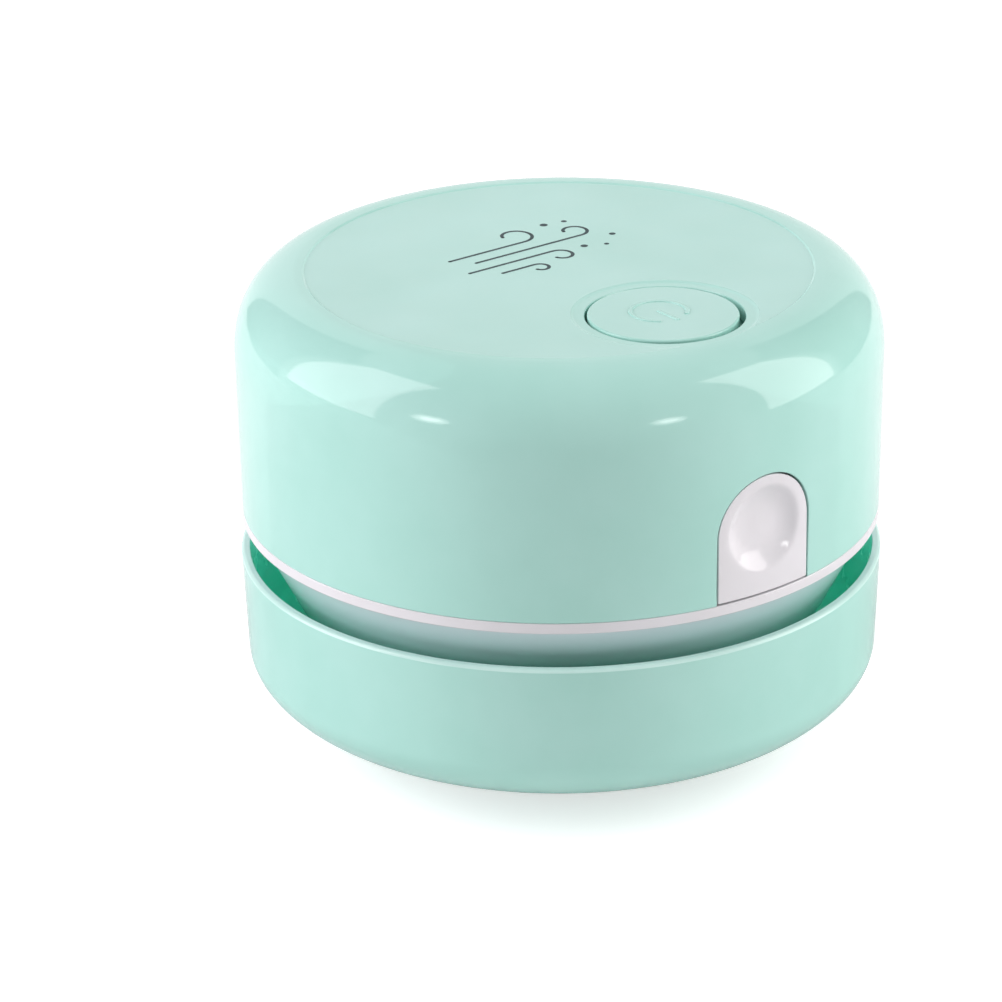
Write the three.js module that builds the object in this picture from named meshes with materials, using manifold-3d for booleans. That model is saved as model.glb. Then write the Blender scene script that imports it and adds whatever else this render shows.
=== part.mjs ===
// Desktop mini vacuum cleaner: a round hand-held cleaner that stands on a ring of bristles.
// The head lifts off a dust cup, and a skirt round the cup leaves an air slot under the head.
// Millimetres, +Z up. The origin is on the axis, level with the bristle tips; the front is -Y.
import * as THREE from "three";
import { mergeVertices } from "three/addons/utils/BufferGeometryUtils.js";
import Module from "manifold-3d";

const wasm = await Module();
wasm.setup();

// Overall form
const bodyRadius = 42.5;
const partingHeight = 33.1;
const headHeight = 31.9;
const fitGap = 0.3;
const overrun = 1;
const weldDistance = 1e-4;
const roundSteps = 36;
const middleSteps = 24;
const smallSteps = 8;
const arcSteps = 6;

// Top cover: matte disc, shoulder and nearly straight wall
const shoulderReach = 9.2;
const topDiscRecess = 0.3;
const topDiscEdge = 0.4;
const shoulderHeight = 10.6;
const shoulderPower = 2.23;
const footTaper = 0.3;
const coverWall = 2;
const shoulderSteps = 5;

// The bowl's white ring, and the air slot under it
const flangeThickness = 1.5;
const flangeReach = 1.4;
const airSlotHeight = 4.75;

// Skirt round the cup
const skirtBottom = 4.6;
const skirtWall = 1.5;
const skirtBendHeight = 8.6;
const skirtBendTaper = 0.6;
const skirtFootBand = 4.8;
const skirtPower = 1.86;
const skirtSteps = 4;

// Brush plate with its bristles
const plateProud = 0.3;
const plateThickness = 1.9;
const grooveDepth = 1.2;
const plateRim = 3.8;
const brushRingShare = 0.5;
const brushRingInset = 4.1;
const stripWidth = 3.8;
const stripProud = 0.3;
const stripCount = 4;
const stripGapAngle = 4;
const strandRows = 3;
const strandsInRow = 25;
const strandRowStep = 1.15;
const rowStaggerShare = 0.5;
const strandRadius = 0.3;
const strandSides = 3;
const strandSplay = 0.35;
const strandTrim = 0.5;
const stripArcSteps = 10;

// Outlet bowl, the dust cup in it and the inlet tube
const bowlWall = 1.6;
const coneFootReach = 4.35;
const airChannelWidth = 9.3;
const dustWall = 1.5;
const throatShare = 0.2;
const throatInset = 2.5;
const throatWall = 1.6;
const throatGap = 2;
const tubeFlangeReach = 1.4;
const airWindowCount = 7;
const airWindowPitch = 13;
const airWindowWidth = 4.5;
const airWindowHeight = 6.5;
const airWindowDrop = 1.2;

// Screws: the cross in a head reaches this share of its radius
const crossShare = 0.6;

// Base screws
const baseScrewCount = 3;
const baseScrewHeadRadius = 2;
const baseScrewHead = 0.9;
const baseScrewRadius = 0.95;
const baseScrewLength = 6.2;
const baseBossRadius = 2.6;
const baseBossSkin = 1.2;

// Fan base: the head's floor, with the collar that holds the filter
const fanBaseThickness = 1.5;
const fanEyeRadius = 12;
const sealHeight = 0.7;
const collarGap = 0.75;
const collarWall = 1.5;
const collarDepth = 6;
const lipReach = 1.9;
const lipThickness = 1.4;
const bayonetCount = 3;
const lipAngle = 40;
const lugAngle = 34;
const outletCount = 4;
const outletAngle = 26;
const outletPitch = 31;
const outletWidth = 2.6;
const outletEdge = 1.3;

// Filter
const frameWall = 1.7;
const frameDepth = 9.1;
const frameFloor = 1.4;
const lugThickness = 1.5;
const lugDrop = 0.9;
const windowCount = 6;
const spokeWidth = 2;
const hubRadius = 4;
const gripInset = 7;
const gripWidth = 3;
const gripHeight = 2.1;
const netThickness = 0.4;
const spongeThickness = 6.6;

// Impeller
const fanRoomHeight = 5.6;
const fanFloorGap = 0.6;
const fanRimGap = 5.04;
const impellerDisc = 1;
const bladeCount = 11;
const bladeHeight = 3.4;
const bladeThickness = 1;
const bladeSweep = 42;
const bladeSteps = 5;
const impellerHubRadius = 3.4;

// Motor, its plate and its screws
const motorPlateGap = 1.7;
const motorPlateThickness = 1.8;
const canShare = 0.3;
const canInset = 2;
const canWall = 0.8;
const motorHeadroom = 2.7;
const capHeight = 1.3;
const bearingRadius = 3.2;
const shaftRadius = 1;
const rotorGap = 0.65;
const rotorRoom = 2;
const magnetThickness = 1.8;
const magnetAngle = 130;
const motorScrewCircle = 8;
const motorScrewHeadRadius = 1.7;
const motorScrewHead = 0.9;
const motorScrewRadius = 0.8;
const motorScrewLength = 2.6;

// Head screws
const headScrewInset = 4.96;
const headScrewAngle = 58.35;
const headScrewHeadRadius = 2.6;
const headScrewHead = 1.7;
const headScrewRadius = 1.2;
const headScrewLength = 11.5;
const headBossRadius = 4.2;
const coverPostRadius = 3;

// Battery
const cellRadius = 7.1;
const cellChordShare = 0.8526;
const cellNubRadius = 2.6;
const cellNubLength = 1;
const cellFromMotor = 2.35;
const saddleHeight = 4.6;
const saddleThickness = 3;
const saddleInset = 9;

// Button, switch and circuit board
const buttonInset = 11.3;
const buttonRadius = 9.7;
const buttonGap = 0.4;
const buttonFlange = 1.2;
const buttonFlangeReach = 1.2;
const buttonTravel = 1.2;
const buttonDishWidth = 1.6;
const buttonDishDepth = 0.25;
const guideWall = 1.2;
const guideDepth = 4;
const symbolRadius = 3.75;
const symbolLine = 0.5;
const symbolHeight = 0.2;
const symbolBarLength = 4;
const symbolShift = 0.7;
const symbolOpening = 70;
const switchSide = 7;
const switchHeight = 3.5;
const switchFloor = 0.6;
const plungerRadius = 1.7;
const plungerSink = 1.5;
const boardThickness = 1.2;
const boardWidth = 25;
const boardFrontReach = 11.5;
const boardBackGap = 4.7;
const boardPostRadius = 2.4;
const boardPostInset = 3;
const boardPostFromButton = 12.5;
const boardPostFromBack = 9.5;
const boardScrewHeadRadius = 1.8;
const boardScrewHead = 1;
const boardScrewRadius = 0.8;
const boardScrewLength = 4;

// Charging socket and lamp in the back
const socketWidth = 9;
const socketHeight = 3.3;
const socketWall = 0.35;
const socketDepth = 7.2;
const socketRecess = 1;
const tongueWidth = 6.6;
const tongueThickness = 0.7;
const lampInset = 3;
const lampRadius = 1;
const lampBodyWidth = 2.6;
const lampBodyLength = 2.5;
const lampDrop = 1.7;

// Release tab with its hook and spring
const tabWidth = 14.4;
const tabBottomGap = 0.3;
const tabStraight = 8.6;
const tabFlangeReach = 1.8;
const tabFlangeThickness = 1.1;
const tabTravel = 1.8;
const dishRadius = 5.6;
const dishDepth = 1.5;
const dishRise = 8.7;
const hookWidth = 7;
const hookThickness = 1.4;
const hookNose = 1.4;
const hookNoseHeight = 2.1;
const hookFromWall = 2.3;
const hookArmHeight = 2.6;
const hookArmRise = 1.8;
const catchWidth = 8;
const catchDepth = 2;
const springRadius = 2.5;
const springWire = 0.6;
const springTurns = 6;
const springTurnSteps = 8;
const springSides = 5;
const springRise = 3.7;
const springPegRadius = 1.6;
const springPegLength = 3.5;
const springSeatFromTab = 8.3;
const springSeatThickness = 1.5;
const springSeatHalfWidth = 4;

// Leads
const leadRadius = 0.45;
const leadBow = 1.8;
const leadSides = 6;
const leadSteps = 10;

// Radii and places that follow from the sizes above
const coverFootRadius = bodyRadius - footTaper;
const coverInside = coverFootRadius - coverWall;
const topDiscRadius = bodyRadius - shoulderReach;
const fanBaseRadius = coverInside - fitGap;
const motorPlateRadius = coverInside - motorPlateGap;
const headScrewCircle = coverInside - headScrewInset;
const impellerRadius = headScrewCircle - headBossRadius - fanRimGap;
const coneTopRadius = coverFootRadius - flangeReach;
const dustWallRadius = coneTopRadius - airChannelWidth;
const skirtBendRadius = bodyRadius - skirtBendTaper;
const bristleRingRadius = (bodyRadius - brushRingInset) * brushRingShare;
const throatRadius = (bodyRadius - throatInset) * throatShare;
const plateRecessRadius = bristleRingRadius + plateRim;
const bowlSeatRadius = plateRecessRadius + skirtWall;
const skirtFootRadius = plateRecessRadius + skirtFootBand;
const coneFootRadius = bowlSeatRadius + coneFootReach;
const stripInner = bristleRingRadius - stripWidth / 2;
const stripOuter = bristleRingRadius + stripWidth / 2;
const tubeOuterRadius = throatRadius + throatWall;
const tubeFlangeRadius = tubeOuterRadius + tubeFlangeReach;
const baseScrewCircle = (tubeFlangeRadius + stripInner) / 2;
const canRadius = (bodyRadius - canInset) * canShare;
const buttonY = buttonInset - topDiscRadius;
const boardFront = buttonY - boardFrontReach;
const boardBack = coverFootRadius - boardBackGap;
const boardPostX = boardWidth / 2 - boardPostInset;
const lampX = boardWidth / 2 - lampInset;
const boardPostFrontY = buttonY + boardPostFromButton;
const boardPostBackY = boardBack - boardPostFromBack;
const cellX = -(canRadius + cellFromMotor + cellRadius);
const cellLength = 2 * Math.sqrt(coverInside ** 2 - (cellX - cellRadius) ** 2) * cellChordShare;

// Levels that follow from the sizes above
const overallHeight = partingHeight + headHeight;
const flangeBottom = partingHeight - flangeThickness;
const skirtRim = flangeBottom - airSlotHeight;
const plateBottom = skirtBottom - plateProud;
const plateTop = plateBottom + plateThickness;
const bowlBottom = plateTop + skirtWall;
const bowlFloorTop = bowlBottom + bowlWall;
const cupFloorTop = bowlFloorTop + dustWall;
const fanBaseBottom = partingHeight + fitGap;
const fanBaseTop = fanBaseBottom + fanBaseThickness;
const frameTop = fanBaseBottom - fitGap;
const frameBottom = frameTop - frameDepth;
const gripBottom = frameBottom - gripHeight;
const throatTop = gripBottom - throatGap;
const motorPlateBottom = fanBaseTop + fanRoomHeight;
const motorPlateTop = motorPlateBottom + motorPlateThickness;
const topDiscLevel = overallHeight - topDiscRecess;
const roofUnderside = topDiscLevel - coverWall;
const buttonFlangeTop = roofUnderside - fitGap;
const buttonFlangeBottom = buttonFlangeTop - buttonFlange;
const switchTop = buttonFlangeBottom - buttonTravel - fitGap;
const boardTop = switchTop - switchHeight;
const boardBottom = boardTop - boardThickness;
const capTop = boardBottom - motorHeadroom;
const canTop = capTop - capHeight;
const cellLevel = motorPlateTop + fitGap + cellRadius;

// The bowl's cone, the dust cup that stands in it and the collar that reaches down into the cup
function between(from, to, share) {
  return from + (to - from) * share;
}

const coneFloorShare = (bowlFloorTop - bowlBottom) / (flangeBottom - bowlBottom);
const coneFloorRadius = between(coneFootRadius, coneTopRadius, coneFloorShare);
const cupFootRadius = coneFloorRadius - bowlWall - fitGap;
const cupTop = fanBaseBottom - sealHeight;
const collarBottom = fanBaseBottom - collarDepth;
const collarRiseShare = (collarBottom - bowlFloorTop) / (cupTop - bowlFloorTop);
const collarRadius = between(cupFootRadius, dustWallRadius, collarRiseShare) - dustWall - collarGap;

// Turning a closed geometry into a solid, and joining and cutting solids
function solidFrom(geometry) {
  const bare = new THREE.BufferGeometry();
  const flat = geometry.index ? geometry.toNonIndexed() : geometry;
  bare.setAttribute("position", flat.getAttribute("position"));
  const merged = mergeVertices(bare, weldDistance);
  const corners = merged.index.array;
  const triVerts = [];
  for (let i = 0; i < corners.length; i += 3) {
    const [a, b, c] = [corners[i], corners[i + 1], corners[i + 2]];
    if (a !== b && b !== c && c !== a) triVerts.push(a, b, c);
  }
  const mesh = new wasm.Mesh({
    numProp: 3,
    vertProperties: merged.attributes.position.array,
    triVerts: new Uint32Array(triVerts),
  });
  return new wasm.Manifold(mesh);
}

function asSolid(shape) {
  return shape.isBufferGeometry ? solidFrom(shape) : shape;
}

function join(...shapes) {
  return shapes.map(asSolid).reduce((whole, next) => whole.add(next));
}

function cut(shape, ...tools) {
  return tools.map(asSolid).reduce((left, tool) => left.subtract(tool), asSolid(shape));
}

function shared(shape, other) {
  return asSolid(shape).intersect(asSolid(other));
}

function geometryOf(shape) {
  const mesh = asSolid(shape).getMesh();
  const geometry = new THREE.BufferGeometry();
  geometry.setAttribute("position", new THREE.BufferAttribute(new Float32Array(mesh.vertProperties), 3));
  geometry.setIndex(new THREE.BufferAttribute(new Uint32Array(mesh.triVerts), 1));
  geometry.computeVertexNormals();
  return geometry;
}

// Basic shapes, each placed where it belongs
function turned(profile, steps = roundSteps) {
  const points = profile.map(([radius, height]) => new THREE.Vector2(radius, height));
  return new THREE.LatheGeometry(points, steps).rotateX(Math.PI / 2);
}

function turnedRing(profile, steps = roundSteps) {
  return turned([...profile, profile[0]], steps);
}

function disc(radius, bottom, top, steps = roundSteps) {
  return turned([[0, bottom], [radius, bottom], [radius, top], [0, top]], steps);
}

function ring(inner, outer, bottom, top, steps = roundSteps) {
  return turnedRing([[inner, bottom], [outer, bottom], [outer, top], [inner, top]], steps);
}

function post(x, y, radius, bottom, top, steps = smallSteps) {
  return disc(radius, bottom, top, steps).translate(x, y, 0);
}

function block([left, right], [front, back], [bottom, top]) {
  const geometry = new THREE.BoxGeometry(right - left, back - front, top - bottom);
  return geometry.translate((left + right) / 2, (front + back) / 2, (bottom + top) / 2);
}

function rod(x, z, radius, front, back, steps = smallSteps) {
  const geometry = new THREE.CylinderGeometry(radius, radius, back - front, steps);
  return geometry.translate(x, (front + back) / 2, z);
}

function prism(shape, bottom, top, curveSegments = smallSteps) {
  const settings = { depth: top - bottom, bevelEnabled: false, curveSegments };
  return new THREE.ExtrudeGeometry(shape, settings).translate(0, 0, bottom);
}

// The outline is drawn in X and Z and drawn out along Y, from the front to the back.
function slab(outline, front, back, curveSegments = smallSteps) {
  const settings = { depth: back - front, bevelEnabled: false, curveSegments };
  return new THREE.ExtrudeGeometry(outline, settings).rotateX(Math.PI / 2).translate(0, back, 0);
}

function radians(degrees) {
  return THREE.MathUtils.degToRad(degrees);
}

function onCircle(radius, degrees) {
  return [radius * Math.cos(radians(degrees)), radius * Math.sin(radians(degrees))];
}

// Places in pairs on both sides of the middle, at each of the given distances along Y
function inPairs(x, distances) {
  return [x, -x].flatMap((side) => distances.map((y) => [side, y]));
}

function sector(inner, outer, bottom, top, from, to, steps = arcSteps) {
  const shape = new THREE.Shape();
  shape.absarc(0, 0, outer, radians(from), radians(to), false);
  shape.absarc(0, 0, inner, radians(to), radians(from), true);
  return prism(shape, bottom, top, steps);
}

// A rounded corner in a turned profile, from the level where it starts to the level where it ends
function roundedCorner(startRadius, startLevel, endRadius, endLevel, power, steps) {
  const points = [];
  for (let i = 0; i <= steps; i++) {
    const turn = (i / steps) * (Math.PI / 2);
    const across = Math.cos(turn) ** (2 / power);
    const along = Math.sin(turn) ** (2 / power);
    const radius = endRadius + (startRadius - endRadius) * across;
    const level = startLevel + (endLevel - startLevel) * along;
    points.push([radius, level]);
  }
  return points;
}

const [headScrewX, headScrewY] = onCircle(headScrewCircle, headScrewAngle);
const headScrewPlaces = inPairs(headScrewX, [headScrewY, -headScrewY]);
const boardScrewPlaces = inPairs(boardPostX, [boardPostFrontY, boardPostBackY]);
const baseScrewPlaces = Array.from({ length: baseScrewCount }, (_, i) =>
  onCircle(baseScrewCircle, 90 + (i * 360) / baseScrewCount),
);

// A screw with a cross in its head; its head starts at the given level and faces down.
function screw([x, y], level, headRadius, headHeight, shankRadius, length) {
  const slotHalf = shankRadius / 2;
  const slotReach = headRadius * crossShare;
  const slotTop = level + headHeight / 2;
  const head = post(x, y, headRadius, level, level + headHeight);
  const shank = post(x, y, shankRadius, level + headHeight / 2, level + headHeight + length);
  const levels = [level - overrun, slotTop];
  const crossA = block([x - slotReach, x + slotReach], [y - slotHalf, y + slotHalf], levels);
  const crossB = block([x - slotHalf, x + slotHalf], [y - slotReach, y + slotReach], levels);
  return cut(join(head, shank), crossA, crossB);
}

// Named pieces in nested groups, one group for each set of pieces that moves together
const vacuumCleaner = new THREE.Group();
const base = new THREE.Group();
const head = new THREE.Group();
const fan = new THREE.Group();
const filter = new THREE.Group();
const button = new THREE.Group();
const tab = new THREE.Group();
vacuumCleaner.add(base, head);
head.add(fan, filter, button, tab);

const finishes = {
  mintPlastic: { color: "#bfe9de", roughness: 0.25, metalness: 0 },
  whitePlastic: { color: "#eef0f0", roughness: 0.3, metalness: 0 },
  greyPlastic: { color: "#9aa0a3", roughness: 0.5, metalness: 0 },
  greySilicone: { color: "#8b9092", roughness: 0.7, metalness: 0 },
  whiteNylon: { color: "#e9ecea", roughness: 0.5, metalness: 0 },
  darkSponge: { color: "#3c4144", roughness: 0.95, metalness: 0 },
  steel: { color: "#b9bcbf", roughness: 0.35, metalness: 1 },
  magnet: { color: "#4a4c4e", roughness: 0.6, metalness: 0.4 },
  blackPlastic: { color: "#26282a", roughness: 0.5, metalness: 0 },
  cellWrap: { color: "#3f7fb5", roughness: 0.4, metalness: 0 },
  boardGreen: { color: "#2e6b46", roughness: 0.5, metalness: 0 },
  clearLens: { color: "#f3e6e2", roughness: 0.2, metalness: 0 },
  redLead: { color: "#b5302b", roughness: 0.5, metalness: 0 },
  blackLead: { color: "#2a2a2c", roughness: 0.5, metalness: 0 },
};

function piece(group, name, shape, finish) {
  const mesh = new THREE.Mesh(geometryOf(shape), new THREE.MeshStandardMaterial(finishes[finish]));
  mesh.name = name;
  group.add(mesh);
}

// Skirt shell: an open bowl whose rim ends below the air slot, with a recess for the brush plate
function skirtShell() {
  const bendTop = skirtBottom + skirtBendHeight;
  const floorTop = skirtBottom + skirtWall;
  const innerBend = skirtBendRadius - skirtWall;
  const holeRadius = tubeFlangeRadius + fitGap;
  const bend = [skirtPower, skirtSteps];
  const outer = roundedCorner(skirtBendRadius, bendTop, skirtFootRadius, skirtBottom, ...bend);
  const inner = roundedCorner(innerBend, bendTop, skirtFootRadius, floorTop, ...bend);
  const profile = [
    [holeRadius, plateTop],
    [plateRecessRadius, plateTop],
    [plateRecessRadius, skirtBottom],
    ...outer.reverse(),
    [bodyRadius, skirtRim],
    [bodyRadius - skirtWall, skirtRim],
    ...inner,
    [bowlSeatRadius, floorTop],
    [bowlSeatRadius, bowlBottom],
    [holeRadius, bowlBottom],
  ];
  const screwHoles = baseScrewPlaces.map(([x, y]) =>
    post(x, y, baseScrewRadius + fitGap, plateTop - overrun, bowlBottom + overrun),
  );
  return cut(turnedRing(profile), ...screwHoles);
}

piece(base, "skirt_shell", skirtShell(), "mintPlastic");

// Outlet bowl: a white cone with a ring on top, windows for the air at the back and a lug for the hook
const hookNoseY = -(coneTopRadius - bowlWall - hookFromWall - fitGap);
const lugBottom = partingHeight - catchDepth;
const screwHoleTop = plateBottom + baseScrewHead + baseScrewLength + fitGap;

function catchLug() {
  const halfWidth = catchWidth / 2;
  const reach = [-coneTopRadius, hookNoseY - fitGap];
  const lug = block([-halfWidth, halfWidth], reach, [lugBottom, partingHeight]);
  return shared(lug, disc(coneTopRadius - bowlWall / 2, lugBottom, partingHeight));
}

function baseScrewHoles(bottom, top) {
  return baseScrewPlaces.map(([x, y]) => post(x, y, baseScrewRadius + fitGap, bottom, top));
}

function outletBowl() {
  const profile = [
    [tubeOuterRadius + fitGap, bowlBottom],
    [coneFootRadius, bowlBottom],
    [coneTopRadius, flangeBottom],
    [coverFootRadius, flangeBottom],
    [coverFootRadius, partingHeight],
    [coneTopRadius - bowlWall, partingHeight],
    [coneTopRadius - bowlWall, flangeBottom],
    [coneFloorRadius - bowlWall, bowlFloorTop],
    [tubeOuterRadius + fitGap, bowlFloorTop],
  ];
  const windowTop = flangeBottom - airWindowDrop;
  const window = block(
    [dustWallRadius, coneTopRadius + overrun],
    [-airWindowWidth / 2, airWindowWidth / 2],
    [windowTop - airWindowHeight, windowTop],
  );
  const windows = Array.from({ length: airWindowCount }, (_, i) =>
    window.clone().rotateZ(radians(90 + airWindowPitch * (i - (airWindowCount - 1) / 2))),
  );
  const screwHoles = baseScrewHoles(bowlBottom - overrun, bowlFloorTop + overrun);
  return join(cut(turnedRing(profile), ...screwHoles, ...windows), catchLug());
}

piece(base, "outlet_bowl", outletBowl(), "whitePlastic");

// Dust cup: a tapered cup in the bowl, with bosses for the base screws round the inlet tube
function dustCup() {
  const profile = [
    [tubeOuterRadius + fitGap, bowlFloorTop],
    [cupFootRadius, bowlFloorTop],
    [dustWallRadius, cupTop],
    [dustWallRadius - dustWall, cupTop],
    [cupFootRadius - dustWall, cupFloorTop],
    [tubeOuterRadius + fitGap, cupFloorTop],
  ];
  const bosses = baseScrewPlaces.map(([x, y]) =>
    post(x, y, baseBossRadius, bowlFloorTop, screwHoleTop + baseBossSkin),
  );
  return cut(join(turnedRing(profile), ...bosses), ...baseScrewHoles(bowlFloorTop - overrun, screwHoleTop));
}

piece(base, "dust_cup", dustCup(), "whitePlastic");

// Inlet tube: it carries the dust up into the cup, and the brush plate holds its flange up
const tubeProfile = [
  [throatRadius, plateTop],
  [tubeFlangeRadius, plateTop],
  [tubeFlangeRadius, bowlBottom],
  [tubeOuterRadius, bowlBottom],
  [tubeOuterRadius, throatTop],
  [throatRadius, throatTop],
];
piece(base, "inlet_tube", turnedRing(tubeProfile), "greyPlastic");

// Brush plate: screwed up into the skirt's recess, with a groove that holds the bristle strips
function brushPlate() {
  const headHole = baseScrewHeadRadius + fitGap;
  const holes = baseScrewPlaces.flatMap(([x, y]) => [
    post(x, y, baseScrewRadius + fitGap, plateBottom - overrun, plateTop + overrun),
    post(x, y, headHole, plateBottom - overrun, plateBottom + baseScrewHead),
  ]);
  return cut(
    ring(throatRadius, plateRecessRadius - fitGap, plateBottom, plateTop),
    ring(stripInner - fitGap, stripOuter + fitGap, plateBottom - overrun, plateBottom + grooveDepth),
    ...holes,
  );
}

piece(base, "brush_plate", brushPlate(), "whitePlastic");

// Bristle strips: rows of short strands that stand in curved backings and are cut level at the foot
function strand(angle, row) {
  const rowOffset = row - (strandRows - 1) / 2;
  const [x, y] = onCircle(bristleRingRadius + rowOffset * strandRowStep, angle);
  const [outX, outY] = onCircle(rowOffset * strandSplay, angle);
  const top = plateBottom;
  const length = top + strandTrim;
  const geometry = new THREE.CylinderGeometry(strandRadius, strandRadius, length, strandSides);
  geometry.rotateX(Math.PI / 2).rotateZ(radians(angle)).translate(0, 0, top - length / 2);
  const lean = new THREE.Matrix4();
  lean.set(1, 0, -outX / top, x + outX, 0, 1, -outY / top, y + outY, 0, 0, 1, 0, 0, 0, 0, 1);
  return geometry.applyMatrix4(lean);
}

function brushStrip(index) {
  const span = 360 / stripCount - stripGapAngle;
  const from = (index * 360) / stripCount + stripGapAngle / 2;
  const backing = sector(
    stripInner,
    stripOuter,
    plateBottom - stripProud,
    plateBottom + grooveDepth,
    from,
    from + span,
    stripArcSteps,
  );
  const strands = [];
  for (let row = 0; row < strandRows; row++) {
    for (let i = 0; i < strandsInRow; i++) {
      const share = (i + rowStaggerShare * (1 + (row % 2))) / (strandsInRow + rowStaggerShare);
      strands.push(strand(from + span * share, row));
    }
  }
  const below = ring(stripInner - overrun, stripOuter + overrun, -strandTrim - overrun, 0);
  return cut(join(backing, ...strands), below);
}

for (let i = 0; i < stripCount; i++) {
  piece(base, `brush_strip_${i + 1}`, brushStrip(i), "whiteNylon");
}

baseScrewPlaces.forEach((place, i) => {
  const shank = [baseScrewRadius, baseScrewLength];
  const shape = screw(place, plateBottom, baseScrewHeadRadius, baseScrewHead, ...shank);
  piece(base, `base_screw_${i + 1}`, shape, "steel");
});

// Release tab's places: it stands in an arch in the cover, with a flange behind the cover's wall
const tabBottom = partingHeight + tabBottomGap;
const tabArchLevel = tabBottom + tabStraight;
const tabHalfFlange = tabWidth / 2 + tabFlangeReach;
const tabFlangeFront = fitGap - Math.sqrt(coverInside ** 2 - tabHalfFlange ** 2);
const tabBackY = tabFlangeFront + tabFlangeThickness;
const hookFrontY = hookNoseY + hookNose;
const hookBackY = hookFrontY + hookThickness;

function archOutline(halfWidth, bottom) {
  const outline = new THREE.Shape();
  outline.moveTo(-halfWidth, bottom);
  outline.lineTo(halfWidth, bottom);
  outline.absarc(0, tabArchLevel, halfWidth, 0, Math.PI, false);
  outline.closePath();
  return outline;
}

// Room for the tab, its flange and its hook in a plate of the head, also when the tab is pressed
function tabRoom(bottom, top) {
  const halfFlange = tabHalfFlange + fitGap;
  const halfHook = hookWidth / 2 + fitGap;
  const levels = [bottom - overrun, top + overrun];
  const pressed = tabTravel + fitGap;
  return [
    block([-halfFlange, halfFlange], [-bodyRadius, tabBackY + pressed], levels),
    block([-halfHook, halfHook], [-bodyRadius, hookBackY + pressed], levels),
  ];
}

// Top cover: a mint shell with the button's hole, the tab's arch, the socket's slot and screw posts
const lampLevel = boardBottom - lampDrop;

function coverForm(inset) {
  const shoulderFoot = overallHeight - shoulderHeight;
  const top = inset ? roofUnderside : overallHeight;
  const bottom = inset ? partingHeight - overrun : partingHeight;
  const bend = [shoulderPower, shoulderSteps];
  const shoulder = roundedCorner(bodyRadius - inset, shoulderFoot, topDiscRadius, top, ...bend);
  const edge = inset ? [] : [[topDiscRadius - topDiscEdge, topDiscLevel]];
  const middle = inset ? roofUnderside : topDiscLevel;
  return turned([[0, bottom], [coverFootRadius - inset, bottom], ...shoulder, ...edge, [0, middle]]);
}

function socketSlot() {
  const halfWidth = socketWidth / 2 + fitGap;
  const bottom = boardBottom - socketHeight - fitGap;
  return block([-halfWidth, halfWidth], [boardBack, bodyRadius + overrun], [bottom, boardBottom + fitGap]);
}

function topCover() {
  const outside = solidFrom(coverForm(0));
  const postTop = roofUnderside + coverWall / 2;
  const hole = buttonRadius + buttonGap;
  const guideInner = hole + buttonFlangeReach;
  const guide = ring(guideInner, guideInner + guideWall, roofUnderside - guideDepth, postTop, middleSteps);
  const posts = headScrewPlaces.map(([x, y]) => post(x, y, coverPostRadius, motorPlateTop, postTop));
  const boardPosts = boardScrewPlaces.map(([x, y]) => post(x, y, boardPostRadius, boardTop, postTop));
  const inner = shared(join(guide.translate(0, buttonY, 0), ...posts, ...boardPosts), outside);
  const screwTop = fanBaseBottom + headScrewHead + headScrewLength + fitGap;
  const screwHoles = headScrewPlaces.map(([x, y]) =>
    post(x, y, headScrewRadius + fitGap, motorPlateTop - overrun, screwTop),
  );
  const boardHoles = boardScrewPlaces.map(([x, y]) =>
    post(x, y, boardScrewRadius + fitGap, boardTop - overrun, boardBottom + boardScrewLength + fitGap),
  );
  const tabArch = archOutline(tabWidth / 2 + fitGap, partingHeight - overrun);
  const dishEdge = hole + buttonDishWidth;
  const dishFloor = topDiscLevel - buttonDishDepth;
  const dishProfile = [
    [0, dishFloor],
    [hole, dishFloor],
    [dishEdge, topDiscLevel],
    [dishEdge, overallHeight + overrun],
    [0, overallHeight + overrun],
  ];
  return cut(
    join(cut(outside, coverForm(coverWall)), inner),
    ...screwHoles,
    ...boardHoles,
    post(0, buttonY, hole, roofUnderside - overrun, topDiscLevel + overrun, middleSteps),
    turned(dishProfile, middleSteps).translate(0, buttonY, 0),
    slab(tabArch, -bodyRadius - overrun, -bodyRadius / 2),
    socketSlot(),
    rod(lampX, lampLevel, lampRadius + fitGap, boardBack, bodyRadius + overrun),
  );
}

piece(head, "top_cover", topCover(), "mintPlastic");

// Fan base: the head's floor, with an eye for the air, outlets at the back and the filter's collar
const collarInner = collarRadius - collarWall;
const lugTop = frameTop - lugDrop;
const lipTop = lugTop - lugThickness - fitGap;

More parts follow.
